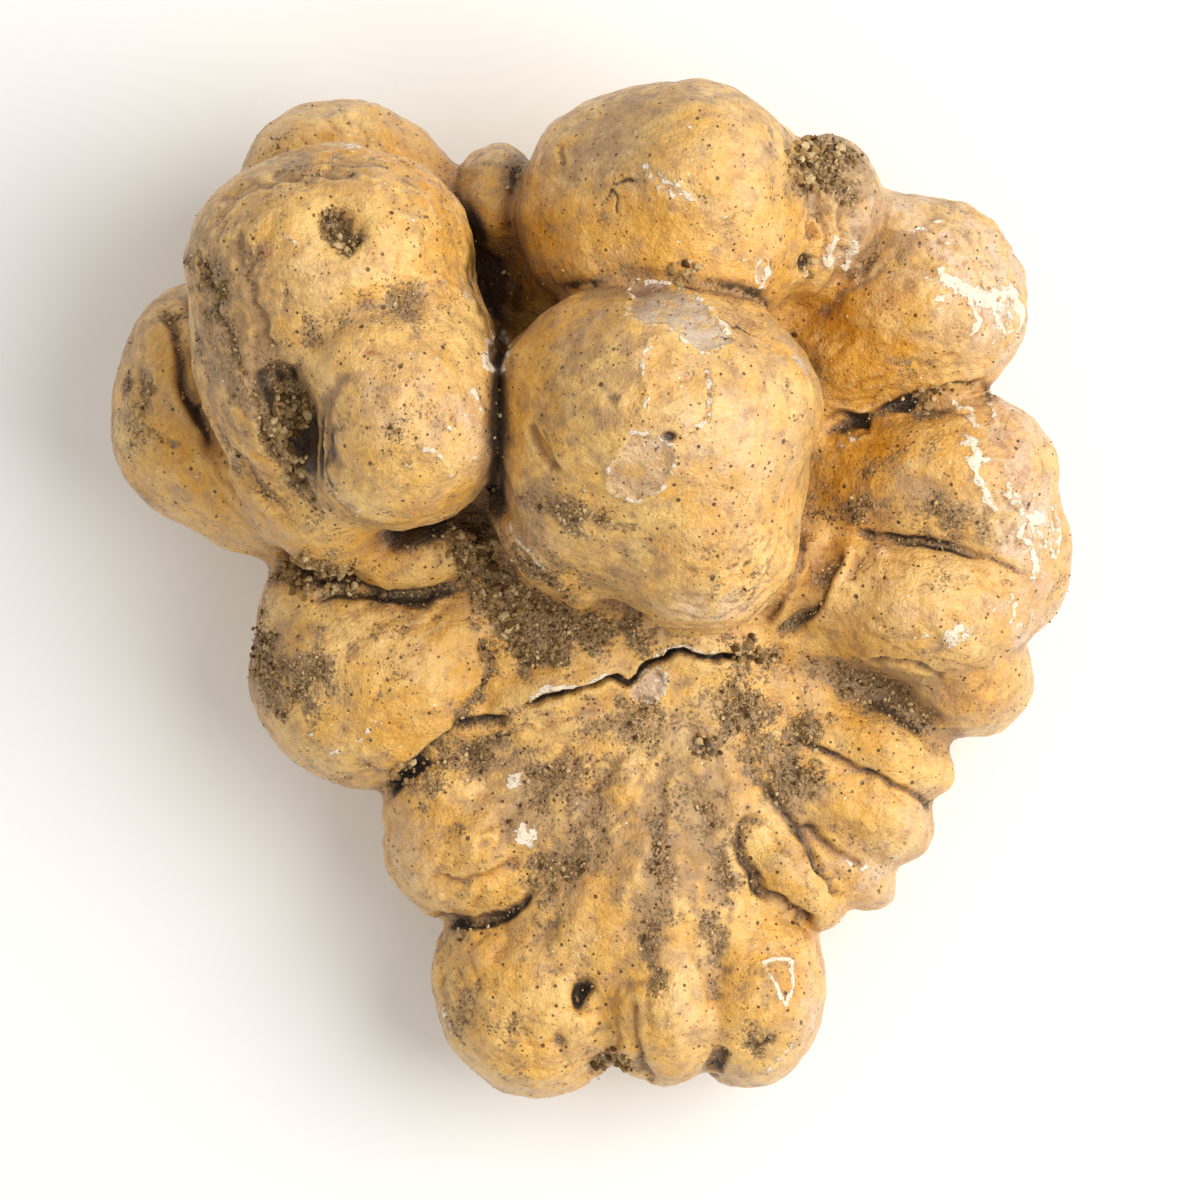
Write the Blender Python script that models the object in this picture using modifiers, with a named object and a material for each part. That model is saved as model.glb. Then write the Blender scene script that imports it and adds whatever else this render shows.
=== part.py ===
"""White truffle: one knobbly body, grown as a single piece, that rests on a small flat spot.

The body is a wide heart with swollen lobes around and on top of it.  Every lobe is an
ellipsoid.  The lobes run together into one skin, two hollows are scooped out of the top,
and the underside is cut level at z = 0, where the heart gives the flat spot.

Axes: +X to the right lobes, +Y to the top lobes, +Z up.  Units: metres.
"""
import math
from dataclasses import dataclass

import bmesh
import bpy
from mathutils import Matrix, Vector

# ---------------------------------------------------------------- driving dimensions
MM = 0.001                     # the lobe lists below are in millimetres
GROWTH = 1.0                   # scales the whole truffle: 1.0 is 103 x 109 x 62 mm

SKIN_VOXEL = 1.3 * MM          # how closely the skin follows the lobes
SKIN_SMOOTHING = 3             # passes that round off the seams between lobes
SEAM_SOFTNESS = 0.5            # how far each pass moves a point towards its neighbours
SKIN_TRIANGLES = 7000          # triangles left in the skin
LOBE_ROUNDNESS = 4             # subdivisions of each lobe's ball
HOLLOW_ROUNDNESS = 3           # subdivisions of each hollow's ball

GROUND_SIZE = 200.0 * MM       # block that cuts the underside level
GROUND_DEPTH = 40.0 * MM

SKIN_COLOUR = (0.70, 0.43, 0.17, 1.0)      # matt ochre
SKIN_ROUGHNESS = 0.62


@dataclass(frozen=True)
class Lobe:
    """One ellipsoid: its centre, its half-axes, its turn about Z and its tip about Y."""

    name: str
    centre: tuple
    radii: tuple
    turn: float = 0.0
    tip: float = 0.0

    def placement(self):
        """Matrix that takes a ball of radius 1 to this lobe, in metres."""
        size = MM * GROWTH
        place = Matrix.Translation(Vector(self.centre) * size)
        turned = Matrix.Rotation(math.radians(self.turn), 4, "Z")
        tipped = Matrix.Rotation(math.radians(self.tip), 4, "Y")
        return place @ turned @ tipped @ Matrix.Diagonal((*(Vector(self.radii) * size), 1.0))


# The heart holds everything together, and its cut underside is the flat spot.
HEART_LOBES = (
    Lobe("heart", (1.5, 7, 15), (36, 37, 16)),
    Lobe("belly_left", (-24, 2, 12), (10, 12, 10)),
    Lobe("belly_right", (26, 12, 12), (10, 12, 10)),
    Lobe("belly_back", (-3, 36, 13), (13, 9, 10)),
    Lobe("belly_front", (-4, -24, 10), (10, 9, 9)),
    Lobe("under_back", (6, 32, 21), (24, 14, 14)),
    Lobe("under_left", (-27, 22, 21), (15, 17, 14)),
    Lobe("under_right", (30, 10, 17), (15, 22, 13)),
    Lobe("fan_root", (4, -24, 14), (21, 20, 13)),
    Lobe("fan_side", (22, -21, 13), (15, 13, 12)),
)

CROWN_LOBES = (
    Lobe("crown", (7, 18.5, 44), (17.2, 14.8, 18)),
    Lobe("crown_low", (12, 6.5, 41), (10.7, 10.7, 14.5)),
    Lobe("crown_left", (0.5, 10.5, 41), (9, 9, 14)),
    Lobe("crown_fold_a", (-6.3, 6.1, 34), (6.4, 1.9, 7), -58),
    Lobe("crown_fold_b", (-2.8, 4.0, 35), (5.5, 2.0, 7), -60),
    Lobe("top_lobe_left", (0.5, 41.8, 34), (8, 10.2, 14.5)),
    Lobe("top_lobe", (10.3, 42.3, 38), (12.3, 12.2, 16)),
    Lobe("top_lobe_low", (7.5, 36, 37), (13.5, 9.5, 14)),
    Lobe("knob", (25.7, 41.3, 30), (5.6, 7.6, 11), 5),
    Lobe("knob_foot", (23.4, 36.3, 28), (4.4, 6, 9), 10),
    Lobe("gap_lobe", (-9.9, 41.2, 25), (5.3, 7.2, 10)),
    Lobe("gap_lobe_low", (-7, 35, 23), (5, 6, 8)),
)

LEFT_LOBES = (
    Lobe("left_crown", (-27.3, 34.6, 40), (15.4, 12.2, 16)),
    Lobe("left_waist", (-24, 27, 41), (12.6, 8, 14)),
    Lobe("left_face", (-20.0, 18.8, 43), (11.4, 12.8, 15)),
    Lobe("left_flank", (-35.0, 24, 35), (7.0, 14, 15), 12),
    Lobe("left_flank_low", (-30, 9, 33), (8.5, 5.2, 9), -35),
    Lobe("far_left", (-43.6, 21, 20), (7.5, 12.8, 12), -8),
    Lobe("far_left_low", (-38, 12, 21), (11, 7, 12), -35),
    Lobe("left_back", (-27.3, 44.6, 22), (11, 8.4, 11.5)),
    Lobe("left_back_slope", (-18.5, 41.5, 21), (8, 6, 10), -20),
    Lobe("left_collar", (-18, 4, 27), (7, 4.2, 8), 10),
    Lobe("left_lower", (-24, -8.9, 19), (12.7, 12.6, 13)),
    Lobe("left_lower_shoulder", (-29, -1.5, 18), (6.5, 6, 11)),
    Lobe("left_lower_inner", (-16.5, -7.5, 21), (8, 10, 10), -30),
    Lobe("saddle", (-3, -8.5, 24), (15, 4, 6), 20),
)

RIGHT_LOBES = (
    Lobe("right_upper_wing", (35, 31, 26), (12, 11.3, 11), 15, -8),
    Lobe("right_upper_band", (29, 25.5, 24), (14, 7, 10), 22, -12),
    Lobe("right_upper_rim", (33.5, 38.5, 27), (8, 3.6, 9), -25),
    Lobe("right_middle_wing", (36.5, 12.3, 24), (14, 8.6, 11), 8, -12),
    Lobe("right_middle_tip", (43.8, 6, 20), (7.5, 11.2, 11), 12),
    Lobe("right_fold_inner", (22.3, 1.5, 24), (2.9, 7.5, 8), -25),
    Lobe("right_fold_outer", (26.2, 1.2, 25), (2.8, 6.5, 8), -30),
    Lobe("right_lower_wing", (34.3, -1.8, 23.5), (13, 7.4, 11), -9, -8),
    Lobe("right_lower_tip", (39, -8.4, 16), (9.2, 7.6, 11), -15),
)

FAN_LOBES = (
    Lobe("fan_shoulder_top", (-15.3, -20.8, 16), (7.6, 5.6, 10.5), 25),
    Lobe("fan_shoulder", (-12.3, -27.0, 16), (10.2, 8.2, 11.5), 20),
    Lobe("fan_middle", (4.5, -34, 16), (16.5, 14, 12)),
    Lobe("fan_bottom_left", (-5.8, -43.0, 14.5), (11.6, 11.7, 12.5)),
    Lobe("fan_bottom_right", (17, -42.8, 14.5), (8.4, 11.2, 12)),
    Lobe("fan_bottom_middle", (7.8, -44.0, 17), (8, 9.8, 11)),
    Lobe("finger_1", (28.4, -15.6, 17), (12.2, 5.2, 9.5), -22),
    Lobe("finger_2", (26.8, -22.0, 16), (12.0, 5.5, 9.5), -24),
    Lobe("finger_3", (25.3, -27.4, 14), (9.5, 4.4, 8.5), -40),
    Lobe("finger_4", (21.3, -29.6, 16.5), (8.2, 4.6, 9), -48),
)

HOLLOWS = (
    Lobe("deep_hollow", (-31.0, 17.4, 54), (2.8, 6.0, 9), 8),
    Lobe("small_hollow", (-26.2, 38.2, 57.5), (2.6, 2.6, 4.5)),
)


def clear_scene():
    """Remove every object that is already in the file."""
    for item in list(bpy.data.objects):
        bpy.data.objects.remove(item, do_unlink=True)


def new_collection(name):
    """Collection linked to the scene."""
    group = bpy.data.collections.new(name)
    bpy.context.scene.collection.children.link(group)
    return group


def ellipsoids(name, lobes, roundness, group):
    """Object that holds one ball for each lobe."""
    shape = bmesh.new()
    for lobe in lobes:
        bmesh.ops.create_icosphere(shape, subdivisions=roundness, radius=1.0, matrix=lobe.placement())
    mesh = bpy.data.meshes.new(name)
    shape.to_mesh(mesh)
    shape.free()
    item = bpy.data.objects.new(name, mesh)
    group.objects.link(item)
    return item


def ground_block(group):
    """Block whose top face is the level the truffle rests on."""
    shape = bmesh.new()
    size = Matrix.Diagonal((GROUND_SIZE, GROUND_SIZE, GROUND_DEPTH, 1.0))
    below = Matrix.Translation((0.0, 0.0, -GROUND_DEPTH / 2))
    bmesh.ops.create_cube(shape, size=1.0, matrix=below @ size)
    mesh = bpy.data.meshes.new("ground_cutter")
    shape.to_mesh(mesh)
    shape.free()
    item = bpy.data.objects.new("ground_cutter", mesh)
    group.objects.link(item)
    return item


def make_cutter(item):
    """Keep an object as a cutting tool only."""
    item.hide_render = True
    item.display_type = "WIRE"


def cut(body, name, cutter):
    """Take the cutter's shape out of the body."""
    make_cutter(cutter)
    step = body.modifiers.new(name, "BOOLEAN")
    step.operation = "DIFFERENCE"
    step.solver = "EXACT"
    step.object = cutter


def run_together(body):
    """Melt the separate balls into one skin of about SKIN_TRIANGLES triangles."""
    skin = body.modifiers.new("one_skin", "REMESH")
    skin.mode = "VOXEL"
    skin.voxel_size = SKIN_VOXEL * GROWTH
    soften = body.modifiers.new("soften_seams", "SMOOTH")
    soften.factor = SEAM_SOFTNESS
    soften.iterations = SKIN_SMOOTHING
    made = evaluated_mesh(body)
    thin = body.modifiers.new("fewer_faces", "DECIMATE")
    thin.ratio = SKIN_TRIANGLES / sum(len(face.vertices) - 2 for face in made.polygons)


def evaluated_mesh(item):
    """Mesh of an object after its modifiers."""
    bpy.context.view_layer.update()
    return item.evaluated_get(bpy.context.evaluated_depsgraph_get()).data


def centre_on_origin(item):
    """Move the object so that its box is centred on the origin in X and Y."""
    places = [vertex.co for vertex in evaluated_mesh(item).vertices]
    for axis in (0, 1):
        lowest = min(place[axis] for place in places)
        highest = max(place[axis] for place in places)
        item.location[axis] = -(lowest + highest) / 2


def truffle_skin_material():
    """Matt ochre skin."""
    skin = bpy.data.materials.new("truffle_skin")
    skin.use_nodes = True
    shader = skin.node_tree.nodes["Principled BSDF"]
    shader.inputs["Base Color"].default_value = SKIN_COLOUR
    shader.inputs["Roughness"].default_value = SKIN_ROUGHNESS
    shader.inputs["Metallic"].default_value = 0.0
    return skin


def build_truffle():
    """Build the truffle and its cutters."""
    truffle_group = new_collection("white_truffle")
    cutter_group = new_collection("cutters")
    lobes = HEART_LOBES + CROWN_LOBES + LEFT_LOBES + RIGHT_LOBES + FAN_LOBES
    truffle = ellipsoids("truffle", lobes, LOBE_ROUNDNESS, truffle_group)
    run_together(truffle)
    cut(truffle, "hollows", ellipsoids("hollow_cutter", HOLLOWS, HOLLOW_ROUNDNESS, cutter_group))
    cut(truffle, "flat_spot", ground_block(cutter_group))
    truffle.data.materials.append(truffle_skin_material())
    truffle.data.shade_smooth()
    centre_on_origin(truffle)
    return truffle


clear_scene()
build_truffle()
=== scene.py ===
"""White truffle, finished: its grown skin, the soil that clings to it and a soft light to see it by.

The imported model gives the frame.  The truffle's single solid is replaced by a finely grown skin
that follows the same lobes, and loose soil crumbs lie in its folds.  Lobes, folds and marks are
laid out in millimetres, with +X to the broad wings, +Y to the tall top lobes and +Z up.
"""
from __future__ import annotations

import logging
import math
from dataclasses import dataclass, field
from enum import Enum

import bmesh
import bpy
import numpy as np
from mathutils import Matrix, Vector

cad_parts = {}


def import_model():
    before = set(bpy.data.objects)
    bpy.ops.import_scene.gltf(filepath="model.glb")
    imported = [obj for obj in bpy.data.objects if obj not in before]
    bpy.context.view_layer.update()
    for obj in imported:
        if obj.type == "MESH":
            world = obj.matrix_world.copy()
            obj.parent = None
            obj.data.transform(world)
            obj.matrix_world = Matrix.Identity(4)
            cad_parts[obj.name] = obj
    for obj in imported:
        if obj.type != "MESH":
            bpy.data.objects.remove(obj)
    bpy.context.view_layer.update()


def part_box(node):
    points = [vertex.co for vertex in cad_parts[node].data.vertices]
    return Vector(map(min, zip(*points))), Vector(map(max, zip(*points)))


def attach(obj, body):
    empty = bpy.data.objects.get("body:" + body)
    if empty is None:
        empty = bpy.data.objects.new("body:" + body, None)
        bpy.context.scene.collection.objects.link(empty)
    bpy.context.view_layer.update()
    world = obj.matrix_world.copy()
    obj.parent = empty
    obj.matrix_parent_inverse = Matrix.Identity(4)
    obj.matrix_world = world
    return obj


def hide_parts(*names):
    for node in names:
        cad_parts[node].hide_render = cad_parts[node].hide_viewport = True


LOG = logging.getLogger("white_truffle")
MM = 0.001

Point = tuple[float, float]
Place = tuple[float, float, float]


# --------------------------------------------------------------------------- numbers and noise
class Noise:
    """Smooth random field in space, the same on every run for one seed."""

    TABLE = 256

    def __init__(self, seed: int) -> None:
        """Shuffle the lattice.

        Args:
            seed: Number that picks one field out of many.
        """
        dice = np.random.default_rng(seed)
        order = dice.permutation(self.TABLE)
        self.order = np.concatenate([order, order])
        heading = dice.normal(size=(self.TABLE, 3))
        self.slopes = (heading / np.linalg.norm(heading, axis=1, keepdims=True)).astype(np.float32)

    def at(self, points: np.ndarray, size: float | np.ndarray) -> np.ndarray:
        """Value of the field, about -1 to 1.

        Args:
            points: Places, one row each.
            size: Distance over which the field changes, one number or one for each axis.

        Returns:
            One value for each place.
        """
        scaled = (points / size).astype(np.float32)
        cell = np.floor(scaled).astype(np.int64)
        inside = scaled - cell
        cell &= self.TABLE - 1
        ease = inside * inside * inside * (inside * (inside * 6 - 15) + 10)
        total = np.zeros(len(points), np.float32)
        for corner in np.ndindex(2, 2, 2):
            key = self.order[cell[:, 0] + corner[0]]
            key = self.order[(key + cell[:, 1] + corner[1]) % (2 * self.TABLE)]
            key = self.order[(key + cell[:, 2] + corner[2]) % (2 * self.TABLE)]
            slope = self.slopes[key]
            weight = np.ones(len(points), np.float32)
            lean = np.zeros(len(points), np.float32)
            for axis in range(3):
                weight *= ease[:, axis] if corner[axis] else 1 - ease[:, axis]
                lean += slope[:, axis] * (inside[:, axis] - corner[axis])
            total += weight * lean
        return total * 1.6

    def layered(self, points: np.ndarray, size: float | np.ndarray, layers: int = 3) -> np.ndarray:
        """Sum of the field at ever finer sizes.

        Args:
            points: Places, one row each.
            size: Coarsest size.
            layers: How many sizes, each half the one before.

        Returns:
            One value for each place.
        """
        total = np.zeros(len(points), np.float32)
        strength = 1.0
        for layer in range(layers):
            total += strength * self.at(points + 37.0 * layer, np.asarray(size) / 2**layer)
            strength *= 0.5
        return total

    def folded(self, points: np.ndarray, size: float | np.ndarray, layers: int = 2) -> np.ndarray:
        """Field of rounded swells with sharp furrows between them, 0 in the furrows to 1.

        Args:
            points: Places, one row each.
            size: Coarsest size.
            layers: How many sizes, each half the one before.

        Returns:
            One value for each place.
        """
        total = np.zeros(len(points), np.float32)
        strength = 1.0
        whole = 0.0
        for layer in range(layers):
            swell = np.abs(self.at(points + 53.0 * layer, np.asarray(size) / 2**layer))
            total += strength * np.minimum(swell * 2.2, 1.0) ** 0.6
            whole += strength
            strength *= 0.5
        return total / whole


def ramp(values: np.ndarray, low: float, high: float) -> np.ndarray:
    """Smooth step from 0 at low to 1 at high.

    Args:
        values: Numbers to map.
        low: Value that gives 0.
        high: Value that gives 1.

    Returns:
        The mapped numbers.
    """
    part = np.clip((values - low) / (high - low), 0.0, 1.0)
    return part * part * (3 - 2 * part)


def melt(first: np.ndarray, second: np.ndarray, reach: float) -> np.ndarray:
    """Smaller of two distances, with the meeting rounded over a reach.

    Args:
        first: Distances to one shape.
        second: Distances to the other.
        reach: Width of the rounding, or 0 for a sharp meeting.

    Returns:
        Distances to both shapes together.
    """
    if reach <= 0:
        return np.minimum(first, second)
    mix = np.clip(0.5 + 0.5 * (second - first) / reach, 0.0, 1.0)
    return second * (1 - mix) + first * mix - reach * mix * (1 - mix)


# --------------------------------------------------------------------------- lobes
@dataclass(frozen=True)
class Lobe:
    """One swelling: an ellipsoid that melts into its neighbours."""

    name: str
    centre: Place
    radii: Place
    turn: float = 0.0
    tip: float = 0.0
    melt: float = 1.0

    def axes(self) -> np.ndarray:
        """Directions of the half-axes.

        Returns:
            Square matrix with one direction in each column.
        """
        turn = math.radians(self.turn)
        tip = math.radians(self.tip)
        turned = np.array(
            [[math.cos(turn), -math.sin(turn), 0], [math.sin(turn), math.cos(turn), 0], [0, 0, 1]]
        )
        tipped = np.array([[math.cos(tip), 0, math.sin(tip)], [0, 1, 0], [-math.sin(tip), 0, math.cos(tip)]])
        return turned @ tipped

    def reach(self) -> tuple[np.ndarray, np.ndarray]:
        """Lowest and highest corner of the lobe's box."""
        half = np.sqrt(((self.axes() * np.array(self.radii)) ** 2).sum(axis=1))
        return np.array(self.centre) - half, np.array(self.centre) + half

    def distance(self, points: np.ndarray) -> np.ndarray:
        """Distance from the lobe's skin, negative inside.

        Args:
            points: Places, with the last axis holding X, Y and Z.

        Returns:
            One distance for each place.
        """
        local = (points - np.array(self.centre)) @ self.axes()
        radii = np.array(self.radii)
        near = np.linalg.norm(local / radii, axis=-1)
        steep = np.linalg.norm(local / radii**2, axis=-1)
        return (near * (near - 1) / np.maximum(steep, 1e-9)).astype(np.float32)


HEART_LOBES = (
    Lobe("heart", (1.5, 7, 15), (36, 37, 16), melt=0),
    Lobe("belly_left", (-24, 2, 12), (10, 12, 10), melt=2),
    Lobe("belly_right", (26, 12, 12), (10, 12, 10), melt=2),
    Lobe("belly_back", (-3, 36, 13), (13, 9, 10), melt=2),
    Lobe("belly_front", (-4, -24, 10), (10, 9, 9), melt=2),
    Lobe("under_back", (6, 32, 21), (24, 14, 14), melt=5),
    Lobe("under_left", (-27, 22, 21), (15, 17, 14), melt=5),
    Lobe("under_right", (30, 10, 17), (15, 22, 13), melt=5),
    Lobe("fan_root", (4, -24, 14), (21, 20, 13), melt=5),
    Lobe("fan_side", (22, -21, 13), (15, 13, 12), melt=4),
)
RIGHT_LOBES = (
    Lobe("right_upper_wing", (35, 31, 26), (12, 11.3, 11), 15, -8, 4),
    Lobe("right_upper_band", (29, 25.5, 24), (14, 7, 10), 22, -12, 3),
    Lobe("right_upper_rim", (33.5, 38.5, 27), (8, 3.6, 9), -25, 0, 2),
    Lobe("right_middle_wing", (36.5, 12.3, 24), (14, 8.6, 11), 8, -12, 2.2),
    Lobe("right_middle_tip", (43.8, 6, 20), (7.5, 11.2, 11), 12, 0, 2.5),
    Lobe("right_fold_inner", (22.3, 1.5, 24), (2.9, 7.5, 8), -25, 0, 1.0),
    Lobe("right_fold_outer", (26.2, 1.2, 25), (2.8, 6.5, 8), -30, 0, 1.0),
    Lobe("right_lower_wing", (34.3, -1.2, 23.5), (13, 8.0, 11), -9, -8, 2.2),
    Lobe("right_lower_tip", (39, -8.4, 16), (9.2, 7.6, 11), -15, 0, 2.0),
)
LOWER_LEFT_LOBES = (
    Lobe("left_lower", (-24, -8.9, 19), (12.7, 12.6, 13), melt=1.5),
    Lobe("left_lower_shoulder", (-29, -1.5, 18), (6.5, 6, 11), melt=3),
    Lobe("left_lower_inner", (-16.5, -7.5, 21), (8, 10, 10), -30, 0, 3),
    Lobe("left_collar", (-18, 4, 27), (7, 4.2, 8), 10, 0, 1.0),
    Lobe("saddle", (-3, -8.5, 24), (15, 4, 6), 20, 0, 3),
)
FAN_LOBES = (
    Lobe("fan_shoulder_top", (-15.3, -20.8, 16), (7.6, 5.6, 10.5), 25, 0, 1.0),
    Lobe("fan_shoulder", (-12.3, -27.0, 16), (10.2, 8.2, 11.5), 20, 0, 2.5),
    Lobe("fan_middle", (4.5, -34, 16), (16.5, 14, 12), melt=3),
    Lobe("fan_bottom_left", (-5.8, -43.0, 14.5), (11.6, 11.7, 12.5), melt=1.5),
    Lobe("fan_bottom_right", (17, -42.8, 14.5), (8.4, 11.2, 12), melt=1.5),
    Lobe("fan_bottom_middle", (7.8, -44.0, 17), (8, 9.8, 11), melt=1.5),
    Lobe("finger_1", (28.0, -15.9, 16.5), (12.6, 6.0, 9.5), -22, 0, 2.0),
    Lobe("finger_2", (26.6, -21.9, 16), (12.2, 6.2, 9.5), -25, 0, 1.6),
    Lobe("finger_3", (25.2, -27.0, 14.5), (9.6, 4.8, 8.8), -40, 0, 1.6),
    Lobe("finger_4", (21.1, -29.4, 16.3), (8.4, 4.9, 9.2), -48, 0, 1.4),
)
LEFT_LOBES = (
    Lobe("far_left", (-43.6, 21, 20), (7.5, 12.8, 12), -8, 0, 1.5),
    Lobe("far_left_low", (-38, 12, 21), (11, 7, 12), -35, 0, 2.5),
    Lobe("left_back", (-27.3, 44.6, 22), (11, 8.4, 11.5), melt=0.8),
    Lobe("left_back_slope", (-18.5, 41.5, 21), (8, 6, 10), -20, 0, 3),
    Lobe("left_flank", (-35.0, 24, 35), (7.0, 14, 15), 12, 0, 0.8),
    Lobe("left_flank_low", (-30, 9, 33), (8.5, 5.2, 9), -35, 0, 3),
    Lobe("left_crown", (-27.3, 34.6, 40), (15.4, 12.2, 16), melt=3),
    Lobe("left_face", (-20.0, 18.8, 43), (11.4, 12.8, 15), melt=4),
    Lobe("left_waist", (-24, 27, 41), (12.6, 8, 14), melt=4),
)
CROWN_LOBES = (
    Lobe("gap_lobe", (-9.9, 41.2, 25), (5.3, 7.2, 10), melt=0.8),
    Lobe("gap_lobe_low", (-7, 35, 23), (5, 6, 8), melt=3),
    Lobe("knob", (25.7, 41.3, 30), (5.6, 7.6, 11), 5, 0, 0.8),
    Lobe("knob_foot", (23.4, 36.3, 28), (4.4, 6, 9), 10, 0, 2),
    Lobe("top_lobe_left", (0.5, 41.8, 34), (8, 10.2, 14.5), melt=0.8),
    Lobe("top_lobe", (10.3, 42.3, 38), (12.3, 12.2, 16), melt=5),
    Lobe("top_lobe_low", (7.5, 36, 37), (13.5, 9.5, 14), melt=5),
    Lobe("crown_fold_a", (-7.0, 5.6, 37), (6.6, 2.2, 7), -58, 0, 0.6),
    Lobe("crown_fold_b", (-3.2, 3.2, 38), (5.8, 2.2, 7), -60, 0, 0.6),
    Lobe("crown", (7, 18.5, 44), (17.2, 14.8, 18), melt=0.5),
    Lobe("crown_low", (12, 6.5, 41), (10.7, 10.7, 14.5), melt=5),
    Lobe("crown_left", (0.5, 10.5, 41), (9, 9, 14), melt=4),
)
HOLLOWS = (
    Lobe("deep_hollow", (-31.0, 17.4, 54), (2.8, 6.0, 9), 8, 0, 2.5),
    Lobe("small_hollow", (-26.2, 38.2, 57.5), (2.6, 2.6, 4.5), melt=2.0),
)


# --------------------------------------------------------------------------- marks on the skin
class Tint(Enum):
    """What a mark leaves on the skin.  The value names the skin's own layer that holds it."""

    SOIL = "soil"
    CHALK = "chalk"
    FILM = "film"
    RUST = "rust"
    # pale: pale rubbed skin, and partly painted highlight where the light falls
    PALE_AND_LIT = "pale"
    # gold: deeper gold skin that varies at random, and partly painted shade in sheltered places
    GOLD_AND_SHADE = "gold"
    # dark: painted shade laid into cracks, slots, holes, creases and the gaps between lobes
    DARK = "dark"
    # dust: grey-brown dust, and partly painted shade on steep sides, in dips and in sheltered places
    DUST_AND_SHADE = "dust"


class Profile(Enum):
    """Shape of a fold across its width."""

    VALLEY = "pointed at the bottom"
    ROUND = "rounded all over"
    SLOT = "steep sides and a level bottom"


class Course(Enum):
    """Which way a field of wrinkles runs."""

    OUTWARD = "away from the centre"
    AROUND = "in rings round the centre"


def smooth_path(points: tuple[Point, ...], pieces: int = 5, closed: bool = False) -> np.ndarray:
    """Curve through a few points.

    Args:
        points: Points that the curve passes through.
        pieces: Short straight pieces between two points.
        closed: Whether the curve comes back to its start.

    Returns:
        Points along the curve.
    """
    nodes = np.array(points, float)
    if closed:
        nodes = np.concatenate([nodes[-1:], nodes, nodes[:2]])
    else:
        nodes = np.concatenate([2 * nodes[:1] - nodes[1:2], nodes, 2 * nodes[-1:] - nodes[-2:-1]])
    made = []
    for start in range(len(nodes) - 3):
        before, here, there, after = nodes[start:start + 4]
        for part in np.arange(pieces) / pieces:
            made.append(0.5 * (
                2 * here + (there - before) * part
                + (2 * before - 5 * here + 4 * there - after) * part**2
                + (3 * here - before - 3 * there + after) * part**3
            ))
    made.append(nodes[-2])
    return np.array(made)


def path_distance(places: np.ndarray, path: np.ndarray) -> tuple[np.ndarray, np.ndarray, np.ndarray]:
    """How far places lie from a path in plan.

    Args:
        places: Places in plan, one row each.
        path: Points along the path.

    Returns:
        Distance, part of the way along from 0 to 1, and side: positive to the left of the path.
    """
    best = np.full(len(places), 1e9)
    along = np.zeros(len(places))
    side = np.zeros(len(places))
    lengths = np.linalg.norm(np.diff(path, axis=0), axis=1)
    whole = max(lengths.sum(), 1e-9)
    gone = 0.0
    for start, end, length in zip(path[:-1], path[1:], lengths):
        way = end - start
        offset = places - start
        part = np.clip(offset @ way / max(length**2, 1e-12), 0.0, 1.0)
        gap = offset - part[:, None] * way
        far = np.hypot(gap[:, 0], gap[:, 1])
        nearer = far < best
        best = np.where(nearer, far, best)
        along = np.where(nearer, (gone + part * length) / whole, along)
        side = np.where(nearer, np.sign(way[0] * offset[:, 1] - way[1] * offset[:, 0]), side)
        gone += length
    return best, along, side


@dataclass(frozen=True)
class Fold:
    """A groove, or a ridge where the depth is negative, along a path in plan."""

    path: tuple[Point, ...]
    width: float
    depth: float
    profile: Profile = Profile.VALLEY
    tints: tuple[tuple[Tint, float], ...] = ()
    wander: float = 0.35
    step: float = 0.0
    closed: bool = False

    def apply(self, skin: SkinDraft) -> None:
        """Press the fold into the skin.

        Args:
            skin: Skin to shape and tint.
        """
        path = smooth_path(self.path, closed=self.closed)
        reach = max(self.width * 1.6, 4.0 * abs(self.step) + self.width)
        near = skin.near(path, reach)
        if not len(near):
            return
        places = skin.wandering(near, self.wander)
        away, along, side = path_distance(places, path)
        ends = 1.0 if self.closed else ramp(along, 0.0, 0.12) * ramp(1 - along, 0.0, 0.12)
        part = away / self.width
        if self.profile is Profile.VALLEY:
            shape = np.clip(1 - part, 0, 1) ** 1.4
        elif self.profile is Profile.ROUND:
            shape = 0.5 + 0.5 * np.cos(np.pi * np.clip(part, 0, 1))
        else:
            shape = 1 - ramp(part, 0.55, 1.0)
        seen = skin.seen[near] * ends
        skin.rise[near] -= self.depth * shape * seen
        if self.step:
            lift = self.step * np.exp(-away / (3.0 * abs(self.step) + 0.5)) * (side > 0)
            skin.rise[near] += lift * seen
        for tint, amount in self.tints:
            skin.add_tint(tint, near, amount * np.clip(1.15 - part, 0, 1) * seen)


@dataclass(frozen=True)
class Spot:
    """A dent, bump or stain, or a patch of painted shade or highlight: an oval in plan."""

    centre: Point
    radii: Point
    turn: float = 0.0
    depth: float = 0.0
    tints: tuple[tuple[Tint, float], ...] = ()
    ragged: float = 0.35

    def apply(self, skin: SkinDraft) -> None:
        """Press the spot into the skin.

        Args:
            skin: Skin to shape and tint.
        """
        near = skin.near(np.array([self.centre]), 2.0 * max(self.radii))
        if not len(near):
            return
        turn = math.radians(self.turn)
        offset = skin.wandering(near, self.ragged * min(self.radii)) - np.array(self.centre)
        long_way = offset[:, 0] * math.cos(turn) + offset[:, 1] * math.sin(turn)
        short_way = offset[:, 1] * math.cos(turn) - offset[:, 0] * math.sin(turn)
        away = np.hypot(long_way / self.radii[0], short_way / self.radii[1])
        shape = np.exp(-1.4 * away**2) * skin.seen[near]
        skin.rise[near] -= self.depth * shape
        for tint, amount in self.tints:
            skin.add_tint(tint, near, amount * shape)


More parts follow.
